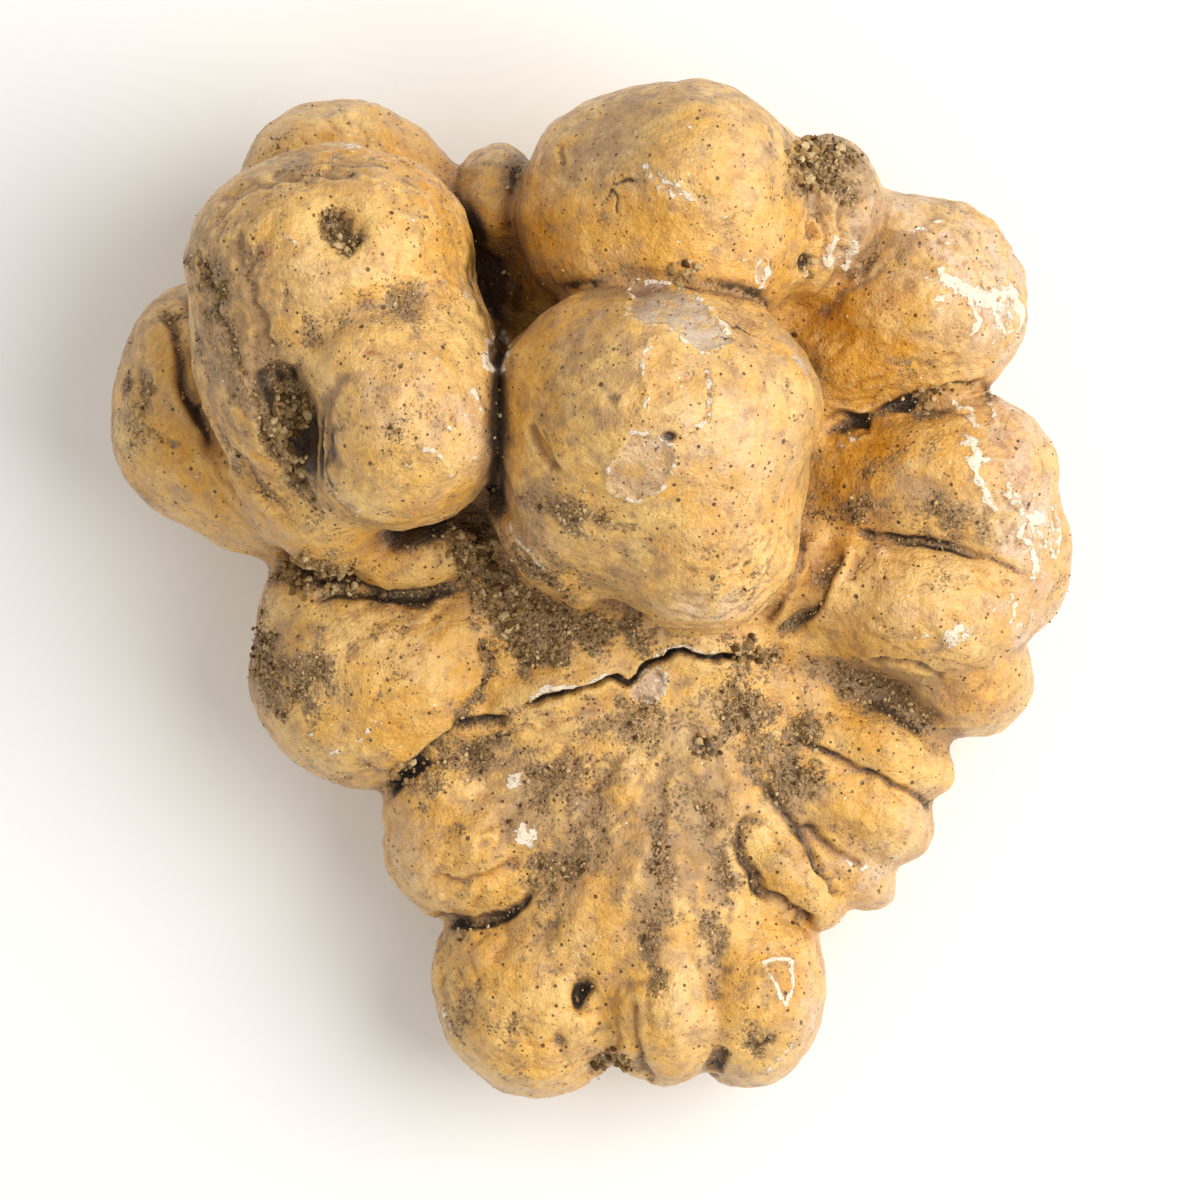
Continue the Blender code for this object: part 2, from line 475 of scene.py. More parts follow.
@dataclass(frozen=True)
class Peel:
    """A place where the skin has flaked off inside a torn outline with a thin raised rim."""

    outline: tuple[Point, ...]
    depth: float
    rim: float
    inside: tuple[tuple[Tint, float], ...] = ()
    edge: tuple[tuple[Tint, float], ...] = ()
    edge_width: float = 0.3

    def apply(self, skin: SkinDraft) -> None:
        """Flake the skin off inside the outline.

        Args:
            skin: Skin to shape and tint.
        """
        path = smooth_path(self.outline, pieces=4, closed=True)
        near = skin.near(path, 2.5)
        if not len(near):
            return
        places = skin.wandering(near, 0.5)
        away, _, _ = path_distance(places, path)
        within = inside_outline(places, path)
        inner = np.where(within, away, -away)
        floor = ramp(inner, -0.1, 0.5) * skin.seen[near]
        rim = np.exp(-((inner / self.edge_width) ** 2)) * skin.seen[near]
        skin.rise[near] += self.rim * rim - self.depth * floor
        for tint, amount in self.inside:
            skin.add_tint(tint, near, amount * floor)
        for tint, amount in self.edge:
            skin.add_tint(tint, near, amount * rim)


def inside_outline(places: np.ndarray, outline: np.ndarray) -> np.ndarray:
    """Which places lie inside a closed outline in plan.

    Args:
        places: Places in plan, one row each.
        outline: Points round the outline.

    Returns:
        True for each place inside.
    """
    within = np.zeros(len(places), bool)
    across, up = places[:, 0], places[:, 1]
    for start, end in zip(outline, np.roll(outline, -1, axis=0)):
        if start[1] == end[1]:
            continue
        spans = (start[1] > up) != (end[1] > up)
        crossing = start[0] + (up - start[1]) * (end[0] - start[0]) / (end[1] - start[1])
        within ^= spans & (across < crossing)
    return within


@dataclass(frozen=True)
class Wrinkles:
    """A field of soft wrinkles that run outward from a centre, or in rings around it."""

    centre: Point
    reach: tuple[float, float]
    sector: tuple[float, float]
    course: Course
    length: float
    spacing: float
    depth: float
    heights: tuple[float, float] = (-99.0, 99.0)

    def apply(self, skin: SkinDraft) -> None:
        """Wrinkle the skin.

        Args:
            skin: Skin to shape.
        """
        near = skin.near(np.array([self.centre]), self.reach[1])
        if not len(near):
            return
        offset = skin.wandering(near, 0.8) - np.array(self.centre)
        away = np.hypot(offset[:, 0], offset[:, 1])
        heading = np.degrees(np.arctan2(offset[:, 1], offset[:, 0]))
        middle = sum(self.sector) / 2
        turned = (heading - middle + 180.0) % 360.0 - 180.0
        half = (self.sector[1] - self.sector[0]) / 2
        fade = ramp(half - np.abs(turned), 0.0, min(25.0, half * 0.5))
        band = self.reach[1] - self.reach[0]
        fade *= ramp(away, self.reach[0], self.reach[0] + 0.2 * band)
        fade *= ramp(self.reach[1] - away, 0.0, 0.2 * band)
        height = skin.places[near, 2]
        fade *= ramp(height, self.heights[0] - 1, self.heights[0] + 1)
        fade *= ramp(self.heights[1] - height, -1.0, 1.0)
        typical = (self.reach[0] + self.reach[1]) / 2
        round_way = np.radians(turned) * typical
        if self.course is Course.OUTWARD:
            spread = np.stack([round_way / self.spacing, away / self.length, height / self.length], axis=1)
        else:
            spread = np.stack([round_way / self.length, away / self.spacing, height / self.spacing], axis=1)
        swell = skin.noise.folded(spread + self.centre[0], 1.0, 2)
        skin.rise[near] += self.depth * (swell - 0.6) * fade * skin.seen[near]


# --------------------------------------------------------------------------- the skin as it is shaped
@dataclass
class SpaceGrid:
    """Evenly spaced places round the truffle, with the distance to its skin at each."""

    low: np.ndarray
    count: np.ndarray
    cell: float
    distance: np.ndarray
    pad: float = 6.0

    @classmethod
    def around(cls, lobes: tuple[Lobe, ...], cell: float) -> SpaceGrid:
        """Empty grid that holds all the lobes.

        Args:
            lobes: Lobes to hold.
            cell: Spacing of the grid.

        Returns:
            The grid, with every place far from any skin.
        """
        margin = 2.0
        low = np.min([lobe.reach()[0] for lobe in lobes], axis=0) - margin
        high = np.max([lobe.reach()[1] for lobe in lobes], axis=0) + margin
        low[2] = -2.5 * cell
        count = np.ceil((high - low) / cell).astype(int) + 1
        return cls(low, count, cell, np.full(count, 50.0, np.float32))

    def take(self, lobe: Lobe, carve: bool = False) -> None:
        """Melt a lobe into the body, or carve it out.

        Args:
            lobe: The lobe.
            carve: Whether it is a hollow.
        """
        low, high = lobe.reach()
        pad = self.pad + lobe.melt
        first = np.clip(((low - pad - self.low) / self.cell).astype(int), 0, self.count)
        last = np.clip(((high + pad - self.low) / self.cell).astype(int) + 2, 0, self.count)
        part = tuple(slice(start, stop) for start, stop in zip(first, last))
        lines = [self.low[axis] + self.cell * np.arange(first[axis], last[axis]) for axis in range(3)]
        places = np.stack(np.meshgrid(*lines, indexing="ij"), axis=-1)
        away = lobe.distance(places)
        if carve:
            self.distance[part] = -melt(-self.distance[part], away, lobe.melt)
        else:
            self.distance[part] = melt(self.distance[part], away, lobe.melt)

    def level_underside(self) -> None:
        """Cut everything below the ground away, which leaves the flat spot."""
        heights = self.low[2] + self.cell * np.arange(self.count[2])
        self.distance = np.maximum(self.distance, -heights.astype(np.float32))

    def at(self, places: np.ndarray) -> np.ndarray:
        """Distance to the skin at any places.

        Args:
            places: Places, one row each.

        Returns:
            One distance for each place.
        """
        spot = np.clip((places - self.low) / self.cell, 0, self.count - 1.001)
        base = spot.astype(int)
        part = spot - base
        total = np.zeros(len(places))
        for corner in np.ndindex(2, 2, 2):
            weight = np.ones(len(places))
            for axis in range(3):
                weight *= part[:, axis] if corner[axis] else 1 - part[:, axis]
            total += weight * self.distance[tuple((base + corner).T)]
        return total

    def skin(self) -> tuple[np.ndarray, np.ndarray]:
        """Closed skin where the distance is nought, by placing one point in each crossed cell.

        Returns:
            Points, and four-cornered faces that face outwards.
        """
        inside = self.distance < 0
        corners = list(np.ndindex(2, 2, 2))
        size = self.count - 1

        def shifted(values: np.ndarray, corner: tuple[int, int, int]) -> np.ndarray:
            """Values at one corner of every cell."""
            return values[tuple(slice(step, step + length) for step, length in zip(corner, size))]

        filled = sum(shifted(inside, corner).astype(np.int8) for corner in corners)
        crossed = (filled > 0) & (filled < 8)
        cells = np.argwhere(crossed)
        number = np.full(crossed.shape, -1, np.int64)
        number[crossed] = np.arange(len(cells))
        values = {corner: self.distance[tuple((cells + corner).T)] for corner in corners}
        total = np.zeros((len(cells), 3))
        hits = np.zeros(len(cells))
        for corner in corners:
            for axis in range(3):
                if corner[axis]:
                    continue
                other = tuple(step + (place == axis) for place, step in enumerate(corner))
                here, there = values[corner], values[other]
                crosses = (here < 0) != (there < 0)
                part = np.where(crosses, here / np.where(crosses, here - there, 1), 0)
                point = np.tile(np.array(corner, float), (len(cells), 1))
                point[:, axis] = part
                total += point * crosses[:, None]
                hits += crosses
        points = (cells + total / hits[:, None]) * self.cell + self.low
        faces = []
        for axis in range(3):
            second, third = (axis + 1) % 3, (axis + 2) % 3
            start = [slice(None)] * 3
            end = [slice(None)] * 3
            start[axis] = slice(0, -1)
            end[axis] = slice(1, None)
            here, there = inside[tuple(start)], inside[tuple(end)]
            for turned, hit in ((False, here & ~there), (True, ~here & there)):
                edge = np.argwhere(hit)
                ring = []
                for back_second, back_third in ((1, 1), (0, 1), (0, 0), (1, 0)):
                    cell = edge.copy()
                    cell[:, second] -= back_second
                    cell[:, third] -= back_third
                    ring.append(number[tuple(cell.T)])
                face = np.stack(ring, axis=1)
                faces.append(face[:, ::-1] if turned else face)
        return points, np.concatenate(faces)


def refine(points: np.ndarray, faces: np.ndarray, chosen: np.ndarray) -> tuple[np.ndarray, list[np.ndarray]]:
    """Split the chosen four-cornered faces into four, and join the others on without gaps.

    Args:
        points: Points of the mesh.
        faces: Four-cornered faces.
        chosen: True for each face to split.

    Returns:
        Points, and arrays of faces that have the same number of corners in each.
    """
    starts, ends = faces, np.roll(faces, -1, axis=1)
    key = np.minimum(starts, ends) * len(points) + np.maximum(starts, ends)
    split_keys = np.unique(key[chosen])
    slot = np.searchsorted(split_keys, key)
    slot = np.minimum(slot, len(split_keys) - 1)
    split = split_keys[slot] == key
    first = split_keys // len(points)
    second = split_keys % len(points)
    middles = (points[first] + points[second]) / 2
    middle_of = slot + len(points)
    centres = points[faces[chosen]].mean(axis=1)
    centre_of = len(points) + len(middles) + np.arange(len(centres))
    made = np.concatenate([points, middles, centres])
    quads = []
    corner, between = faces[chosen], middle_of[chosen]
    for place in range(4):
        quads.append(np.stack([corner[:, place], between[:, place], centre_of, between[:, place - 1]],
                              axis=1))
    groups = [np.concatenate(quads + [faces[~chosen & ~split.any(axis=1)]])]
    edge_rows = np.flatnonzero(~chosen & split.any(axis=1))
    joined: dict[int, list[list[int]]] = {}
    for row in edge_rows:
        ring = []
        for place in range(4):
            ring.append(int(faces[row, place]))
            if split[row, place]:
                ring.append(int(middle_of[row, place]))
        joined.setdefault(len(ring), []).append(ring)
    groups += [np.array(rings) for rings in joined.values()]
    return made, groups


def build_mesh(name: str, points: np.ndarray, groups: list[np.ndarray]) -> bpy.types.Mesh:
    """Blender mesh from points in millimetres and groups of faces.

    Args:
        name: Name of the mesh.
        points: Points, one row each.
        groups: Arrays of faces, each array with one number of corners.

    Returns:
        The mesh, smooth shaded.
    """
    mesh = bpy.data.meshes.new(name)
    corners = np.concatenate([group.ravel() for group in groups]).astype(np.int32)
    sizes = np.concatenate([np.full(len(group), group.shape[1], np.int32) for group in groups])
    mesh.vertices.add(len(points))
    mesh.vertices.foreach_set("co", (points * MM).astype(np.float32).ravel())
    mesh.loops.add(len(corners))
    mesh.loops.foreach_set("vertex_index", corners)
    mesh.polygons.add(len(sizes))
    mesh.polygons.foreach_set("loop_start", np.concatenate([[0], np.cumsum(sizes)[:-1]]).astype(np.int32))
    mesh.update(calc_edges=True)
    mesh.validate()
    mesh.shade_smooth()
    return mesh


class SkinDraft:
    """The skin while marks are pressed into it: its points, how far each rises, and its tints."""

    SEEN_SLACK = 2.5
    MAP_CELL = 0.7

    def __init__(self, mesh: bpy.types.Mesh, noise: Noise) -> None:
        """Read the points of a mesh.

        Args:
            mesh: Mesh to shape.
            noise: Random field for ragged edges and wrinkles.
        """
        self.mesh = mesh
        self.noise = noise
        self.places = np.zeros((len(mesh.vertices), 3))
        mesh.vertices.foreach_get("co", self.places.reshape(-1))
        self.places /= MM
        self.rise = np.zeros(len(self.places))
        self.seen = np.ones(len(self.places))
        self.tints = {tint: np.zeros(len(self.places)) for tint in Tint}
        edges = np.zeros(2 * len(mesh.edges), np.int32)
        mesh.edges.foreach_get("vertices", edges)
        self.edges = edges.reshape(-1, 2)
        self.degree = np.bincount(self.edges.ravel(), minlength=len(self.places))

    def outward(self) -> np.ndarray:
        """Direction straight out of the skin.

        Returns:
            One direction for each point.
        """
        self.write_places()
        normals = np.zeros(len(self.places) * 3, np.float32)
        self.mesh.vertex_normals.foreach_get("vector", normals)
        return normals.reshape(-1, 3).astype(float)

    def write_places(self) -> None:
        """Put the points back into the mesh."""
        self.mesh.vertices.foreach_set("co", (self.places * MM).astype(np.float32).ravel())
        self.mesh.update()

    def soften(self, values: np.ndarray, passes: int) -> np.ndarray:
        """Average each value with its neighbours along the mesh.

        Args:
            values: One value or row for each point.
            passes: How many times.

        Returns:
            The softened values.
        """
        columns = values.reshape(len(values), -1)
        first, second = self.edges.T
        for _ in range(passes):
            around = np.empty_like(columns)
            for place in range(columns.shape[1]):
                column = columns[:, place]
                total = np.bincount(first, column[second], len(column))
                total += np.bincount(second, column[first], len(column))
                around[:, place] = total / self.degree
            columns = 0.4 * columns + 0.6 * around
        return columns.reshape(values.shape)

    def look_from_above(self) -> None:
        """Work out which points can be seen from above, because most marks are laid out in plan."""
        low = self.places[:, :2].min(axis=0)
        cell = ((self.places[:, :2] - low) / self.MAP_CELL).astype(int)
        tallest = np.full(cell.max(axis=0) + 1, -1e9)
        np.maximum.at(tallest, (cell[:, 0], cell[:, 1]), self.places[:, 2])
        below = tallest[cell[:, 0], cell[:, 1]] - self.places[:, 2]
        self.seen = self.soften(1.0 - ramp(below, self.SEEN_SLACK * 0.6, self.SEEN_SLACK), 2)

    def near(self, path: np.ndarray, reach: float) -> np.ndarray:
        """Numbers of the points seen from above that lie within reach of a path's box.

        Args:
            path: Points of the path in plan.
            reach: Margin round its box.

        Returns:
            Numbers of those points.
        """
        low, high = path.min(axis=0) - reach, path.max(axis=0) + reach
        plan = self.places[:, :2]
        return np.flatnonzero(((plan > low) & (plan < high)).all(axis=1) & (self.seen > 0.01))

    def wandering(self, near: np.ndarray, amount: float) -> np.ndarray:
        """Plan places of some points, shaken a little so that drawn lines turn out natural.

        Args:
            near: Numbers of the points.
            amount: How far they are shaken, at most.

        Returns:
            Places in plan.
        """
        places = self.places[near]
        shake = np.stack(
            [self.noise.layered(places + shift, 2.6, 2) for shift in (11.0, 71.0)], axis=1
        )
        return places[:, :2] + amount * shake

    def add_tint(self, tint: Tint, near: np.ndarray, amount: np.ndarray) -> None:
        """Lay a tint over some points.

        Args:
            tint: Which tint.
            near: Numbers of the points.
            amount: How much at each; less than nought wipes the tint off.
        """
        layer = self.tints[tint]
        layer[near] = np.clip(layer[near] + amount, 0.0, 1.5)

    def press(self) -> None:
        """Move every point out by its rise, and start again from nought."""
        self.places += self.outward() * self.rise[:, None]
        self.places[:, 2] = np.maximum(self.places[:, 2], 0.0)
        self.rise[:] = 0.0


# --------------------------------------------------------------------------- where the marks lie
def tinted(**amounts: float) -> tuple[tuple[Tint, float], ...]:
    """Tints that a mark leaves.

    Args:
        **amounts: How strong each is, by its name.

    Returns:
        Each tint with its strength.
    """
    return tuple((Tint(name), amount) for name, amount in amounts.items())


def tinted_ovals(tint: Tint, *ovals: tuple[float, float, float, float, float, float]) -> tuple[Spot, ...]:
    """Several ovals of one tint: stains, or patches of painted shade or highlight, as the tint is.

    Args:
        tint: The tint.
        *ovals: For each oval its centre X and Y, half-width, half-height, turn and strength.

    Returns:
        One spot for each oval.
    """
    return tuple(
        Spot((across, up), (wide, high), turn, 0.0, ((tint, amount),), 0.6)
        for across, up, wide, high, turn, amount in ovals
    )


def flecks(*places: tuple[float, float, float]) -> tuple[Spot, ...]:
    """Small raised flecks of pale skin.

    Args:
        *places: For each fleck its X, its Y and its turn.

    Returns:
        One spot for each fleck.
    """
    return tuple(
        Spot((across, up), (0.65, 0.17), turn, -0.15, tinted(chalk=1.1), 1.5) for across, up, turn in places
    )


def pale_edge(*path: Point, width: float = 0.5, rise: float = 0.2, amount: float = 0.9) -> Fold:
    """Thin raised line of torn, pale skin.

    Args:
        *path: Points along the line.
        width: Half its width.
        rise: How far it stands up.
        amount: How pale it is.

    Returns:
        The fold.
    """
    return Fold(path, 0.9 * width, -rise, Profile.ROUND, tinted(chalk=0.82 * amount), 0.7)


CROWN_MARKS = (
    Peel(
        ((5, 32.2), (8.5, 32.2), (11.3, 30.7), (13.1, 28.9), (14.8, 25.9), (11.8, 25), (9.7, 26.4),
         (7.8, 27.7), (6, 27.9), (4, 28.6)),
        0.35, 0.12, tinted(film=1.1), tinted(chalk=0.8),
    ),
    Spot((16.2, 28.3), (2.8, 1.9), -20, 0.2, tinted(rust=0.8), 0.6),
    Fold(((20.2, 27.5), (21.8, 25.2), (23.2, 22.5)), 1.3, 0.2, Profile.ROUND, tinted(film=0.9)),
    pale_edge((6.7, 26.6), (6.1, 24.3), (5.7, 20.3), (6.2, 17.1), width=0.4, amount=0.9),
    Fold(((11.9, 23.6), (12.4, 21.8), (12.5, 19.6), (11.8, 17.3), (10.2, 16.6)), 0.4, 0.3, Profile.SLOT,
         tinted(chalk=0.85), step=0.22),
    Spot((8.3, 15.8), (0.8, 0.7), 0, 0.9, tinted(dark=1.3)),
    Peel(
        ((4.4, 16.6), (2.5, 13.8), (1.7, 12), (2.3, 10.4), (5, 9.3), (7.8, 11.3), (9, 14), (7.3, 15.7)),
        0.12, 0.28, tinted(pale=0.5), tinted(chalk=0.8), 0.32,
    ),
    Fold(((-6.4, 17.7), (-5.1, 14.8), (-3.6, 12.4)), 0.5, 0.8, Profile.SLOT, tinted(dark=0.4)),
    Fold(((-5.1, 17.2), (-4.2, 14.6), (-3, 12.1)), 0.4, 0.5, Profile.SLOT),
    Spot((2.5, 20.1), (1, 0.7), 30, 0.7, tinted(soil=0.4)),
    pale_edge((-7.2, 15.9), (-6, 13.6), rise=0.15, amount=0.6),
    *tinted_ovals(Tint.SOIL, (-1, 8.2, 7, 2.4, -14, 1), (13, 2, 6, 3.5, 10, 0.35)),
    *tinted_ovals(Tint.RUST, (14, 5.5, 6, 2.8, 20, 0.5), (3, 2.5, 3.5, 2.5, 0, 0.5), (-6, 6, 3, 4, 30, 0.6)),
    # Pale skin; the oval at (15, 15) on the crown's right is a painted highlight on its lit side.
    *tinted_ovals(Tint.PALE_AND_LIT, (12, -2, 8, 2, 5, 0.7), (-6.5, 5, 2, 4, 30, 0.5), (9, 20, 5, 6, 0, 0.3),
            (15, 15, 7, 10, 0, 0.4)),
    pale_edge((-8.6, 8), (-6.6, 4.6), (-4.4, 1.6), rise=0.2, amount=0.9),
    Fold(((13.2, 29), (15, 27.4), (16.4, 27.8), (18, 26.4)), 0.2, 0.3, Profile.VALLEY, tinted(dark=0.9), 0.9),
    Fold(((12.4, 26.6), (14.2, 26.9), (15.2, 25.6)), 0.2, 0.25, Profile.VALLEY, tinted(dark=0.8), 0.9),
    *tinted_ovals(Tint.FILM, (1.5, 29, 3.5, 2, 30, 0.35), (18.5, 24, 2.5, 5, 20, 0.25)),
    Wrinkles((11, 12), (7, 17), (-115, -15), Course.AROUND, 12, 1.5, 0.6, (30, 58)),
)
TOP_MARKS = (
    *(Fold(((2.3, 42.1), end), 0.2, 0.3, Profile.VALLEY, tinted(dark=0.9), 0.5)
      for end in ((4.9, 43.1), (3.2, 39.4), (3.1, 44.3), (1.2, 40.2))),
    Peel(((5.4, 44.6), (6.9, 44.3), (9.1, 43), (10.6, 40.7), (8.7, 41.3), (6.9, 42.4)),
         0.1, 0.15, tinted(chalk=0.55), tinted(chalk=0.5)),
    Peel(((18, 34.8), (17.4, 33.4), (18, 32), (18.8, 33.3)), 0.1, 0.2, tinted(pale=0.8),
         tinted(chalk=0.9), 0.35),
    Fold(((-3.3, 47.2), (-3.1, 44.6)), 0.4, 0.4, Profile.SLOT),
    *flecks((11.6, 40.1, -20), (14, 39, -10), (16.1, 36.9, -50), (12.4, 35.8, 10), (16.2, 34.7, 40),
            (4.8, 48.4, 60), (10.6, 48.6, -20), (17, 38.8, 70)),
    *tinted_ovals(Tint.GOLD_AND_SHADE, (9, 38, 9, 5, 0, 0.45), (0, 36, 5, 8, 10, 0.5)),
    *tinted_ovals(Tint.PALE_AND_LIT, (2, 45, 5, 6, 20, 0.35), (15.5, 44, 5, 5, 0, 0.25)),
    # knob
    Spot((24.4, 45.4), (4.6, 4.4), 10, 0, tinted(soil=1.4), 0.6),
    Spot((27.5, 42), (1.6, 2), 0, 0, tinted(soil=0.6), 0.6),
    Spot((23.2, 34.6), (0.9, 1.5), 0, 1.6, tinted(dark=0.9, soil=0.8)),
    pale_edge((24.7, 33.6), (25.4, 35.6), (26.2, 37.6), width=0.6, rise=0.35, amount=1.2),
    pale_edge((26.6, 34.4), (27.6, 36), (28.4, 37.4), width=0.55, rise=0.3, amount=1.2),
    pale_edge((23.9, 38.5), (24.4, 36.4), width=0.45, rise=0.3, amount=0.8),
    *tinted_ovals(Tint.PALE_AND_LIT, (27, 38.5, 3.5, 5, 0, 0.8)),
    *tinted_ovals(Tint.CHALK, (26.5, 36.5, 2.2, 2.4, 0, 0.55)),
    Wrinkles((24.5, 52), (8, 20), (-105, -70), Course.OUTWARD, 7, 1.1, 0.8),
)
UPPER_WING_MARKS = (
    Fold(((24.6, 16.2), (27.8, 17.8), (33.1, 19.9), (37.4, 21.5), (42.9, 22.4)), 0.8, 0.9, Profile.VALLEY,
         tinted(soil=0.4, dark=0.3)),
    Fold(((24.4, 17.9), (27.9, 18.6), (30, 17.3)), 1, 0.8, Profile.VALLEY, tinted(dark=0.2)),
    pale_edge((26.5, 15.6), (28.5, 16.6), (30.5, 16.4), rise=0.2, amount=0.7),
    Wrinkles((8, 16), (15, 42), (-8, 58), Course.OUTWARD, 14, 2.8, 0.55, (18, 42)),
    *tinted_ovals(Tint.GOLD_AND_SHADE, (29, 27, 6.5, 9, 0, 1), (36, 25, 7, 4, 20, 0.6), (26, 12, 4.5, 6, 0, 0.7)),
    *tinted_ovals(Tint.RUST, (34.5, 33.3, 3, 2, 20, 0.8), (30.8, 30.5, 2.4, 1.6, 30, 0.6),
            (37, 37.5, 3, 1.8, -30, 0.6),
            (39.5, 27.5, 3, 2, 30, 0.4), (33, 38.5, 2.5, 1.5, -10, 0.5)),
    *tinted_ovals(Tint.PALE_AND_LIT, (43.5, 31, 5.5, 8, 10, 0.9), (35, 40, 8, 3.5, -25, 0.8), (40, 36, 5, 4, -40, 0.7)),
    *tinted_ovals(Tint.SOIL, (31, 36, 3, 2, -20, 0.5), (33.5, 23.5, 5, 2, 20, 0.4), (28, 31.5, 3, 2, 40, 0.35)),
    pale_edge((36.4, 35), (37.6, 33.4), (39.6, 32.3), (42.4, 31.2), (45.6, 32.3), width=0.7, rise=0.3,
              amount=1.3),
    pale_edge((39.6, 32), (40.6, 29.8), (41, 28), (39.6, 27.2), width=0.6, rise=0.3, amount=1.3),
    pale_edge((42.6, 31), (43.4, 28.8), (44.6, 27.4), width=0.5, rise=0.25, amount=1.1),
    pale_edge((44.8, 33.4), (45.8, 30.4), (45.6, 27.2), width=0.5, rise=0.2, amount=1),
    pale_edge((38.2, 31.6), (36.4, 30.6), (37.8, 29.6), width=0.5, rise=0.25, amount=0.9),
    pale_edge((31.4, 39.2), (33.6, 38.4), (35.8, 38.8), width=0.45, rise=0.2, amount=0.7),
    Wrinkles((30, 27), (9, 20), (-5, 75), Course.AROUND, 6, 1.2, 0.45, (14, 40)),
    *tinted_ovals(Tint.CHALK, (44.6, 31, 3, 5.5, 10, 0.6), (39.5, 31.5, 3.5, 1.6, -20, 0.6),
            (36, 38.5, 4.5, 1.8, -25, 0.4)),
    *flecks((38, 37, 0), (41.8, 34.6, 30), (40.2, 34.2, -40), (43, 26.6, 60), (36, 33, -30), (37, 39.6, 10)),
)
LOWER_WING_MARKS = (
    pale_edge((38.1, 21), (40, 19.6), (42.1, 17), width=0.6, rise=0.3, amount=1.3),
    pale_edge((42.8, 20.6), (43.2, 17.6), width=0.5, rise=0.3, amount=1.1),
    pale_edge((40.6, 17), (40.5, 14.8), (41, 12.4), (42.3, 9.8), (43.9, 8.2), width=0.75, rise=0.35,
              amount=1.4),
    pale_edge((40.8, 14.2), (43, 14), (45, 14.2), width=0.35, rise=0.2, amount=0.9),
    pale_edge((44, 12), (45.4, 9.8), (46.6, 8), (48.8, 7.7), width=0.6, rise=0.25, amount=1.2),
    pale_edge((46.4, 8), (46.2, 5.6), (47.6, 3.4), (47.2, 1), width=0.55, rise=0.25, amount=1.2),
    pale_edge((49.6, 9.6), (50.2, 6.2), (50, 3), width=0.5, rise=0.2, amount=0.9),
    Fold(((27.4, 6.3), (30, 5.9), (33.2, 5.6), (36.4, 5.2), (39.6, 4.5), (43.9, 2.9), (47.1, 1.5)), 0.7, 0.7,
         Profile.VALLEY, tinted(soil=0.3, dark=0.45)),
    *tinted_ovals(Tint.SOIL, (29, 8.8, 4.5, 2.2, 10, 0.9), (37, 8.2, 6, 2.4, -8, 0.6), (31, 13.5, 5, 2, 20, 0.5),
            (38, 1.2, 4, 1.8, -10, 0.35), (44, 0.2, 2, 1.6, 0, 0.5)),
    *tinted_ovals(Tint.GOLD_AND_SHADE, (35, 16.5, 7, 3.5, 15, 0.7), (30, 15, 4, 3, 0, 0.5), (22.5, 1, 2.5, 5.5, -25, 0.5)),
    *tinted_ovals(Tint.PALE_AND_LIT, (47, 8, 4.5, 9, 10, 1), (44.5, 18, 4, 4.5, 0, 0.8), (47, -4, 3.5, 5, 0, 0.8),
            (36.5, -1.5, 9, 4, -8, 0.35)),
    *tinted_ovals(Tint.RUST, (44, 15.5, 1.8, 1.8, 0, 0.6), (48, 0.5, 1.8, 2.6, 0, 0.5),
            (41.5, -11, 5.5, 2.6, -20, 0.7),
            (46, 12, 1.5, 1.5, 0, 0.6)),
    Spot((30.9, 4.3), (1.2, 1), 0, -0.7, tinted(pale=0.8), 0.1),
    Spot((30.7, 4.4), (0.35, 0.35), 0, 0.5, tinted(dark=0.6), 0.1),
    Peel(((37.2, -5.2), (38.4, -4.2), (40.2, -3.9), (40.6, -4.6), (39.2, -5.6)), 0.08, 0.18,
         tinted(chalk=0.8), tinted(chalk=0.8), 0.4),
    pale_edge((44, -0.6), (44.8, -2), (44.6, -3.4), rise=0.2, amount=0.9),
    pale_edge((35.2, -5.4), (36.2, -5), rise=0.1, amount=0.8),
    *tinted_ovals(Tint.CHALK, (48.6, 6, 2.2, 6.5, 8, 0.6), (41.2, 14, 1.3, 5, 12, 0.45), (46, -3, 2.2, 3, 0, 0.45)),
    *flecks((43.2, -1.8, 40), (42.4, -0.6, 0), (45.4, -1.2, 80)),
    Fold(((26.9, 5), (25.2, 1.3), (23.4, -2.2), (19.6, -5.1)), 1.1, 1.1, Profile.VALLEY, tinted(soil=0.4)),
    Fold(((28.9, 4.2), (27.6, 1)), 1.4, 0.6, Profile.ROUND),
    Fold(((22.6, 5.5), (21.2, 0.5), (18.6, -3.6)), 0.9, 0.8, Profile.VALLEY, tinted(soil=0.3)),
    Fold(((29, -7.2), (32.1, -7.4), (35.7, -8.2), (38.3, -9.5)), 0.5, 0.9, Profile.SLOT, tinted(dark=0.4),
         step=0.3),
    pale_edge((28.8, -6.8), (31, -6.9), (33.4, -7.2), width=0.35, rise=0.1, amount=0.9),
    Fold(((18, -6.3), (21.7, -8.2), (26.3, -8.9), (31, -10.5), (34.5, -12.6), (38.4, -14.8)), 2.6, 0.6,
         Profile.ROUND, tinted(soil=0.6)),
    Wrinkles((34, 8), (9, 18), (-25, 40), Course.AROUND, 6, 1.1, 0.4, (10, 36)),
    Wrinkles((20, 2), (8, 30), (-45, 10), Course.OUTWARD, 12, 3, 0.45, (14, 40)),
)
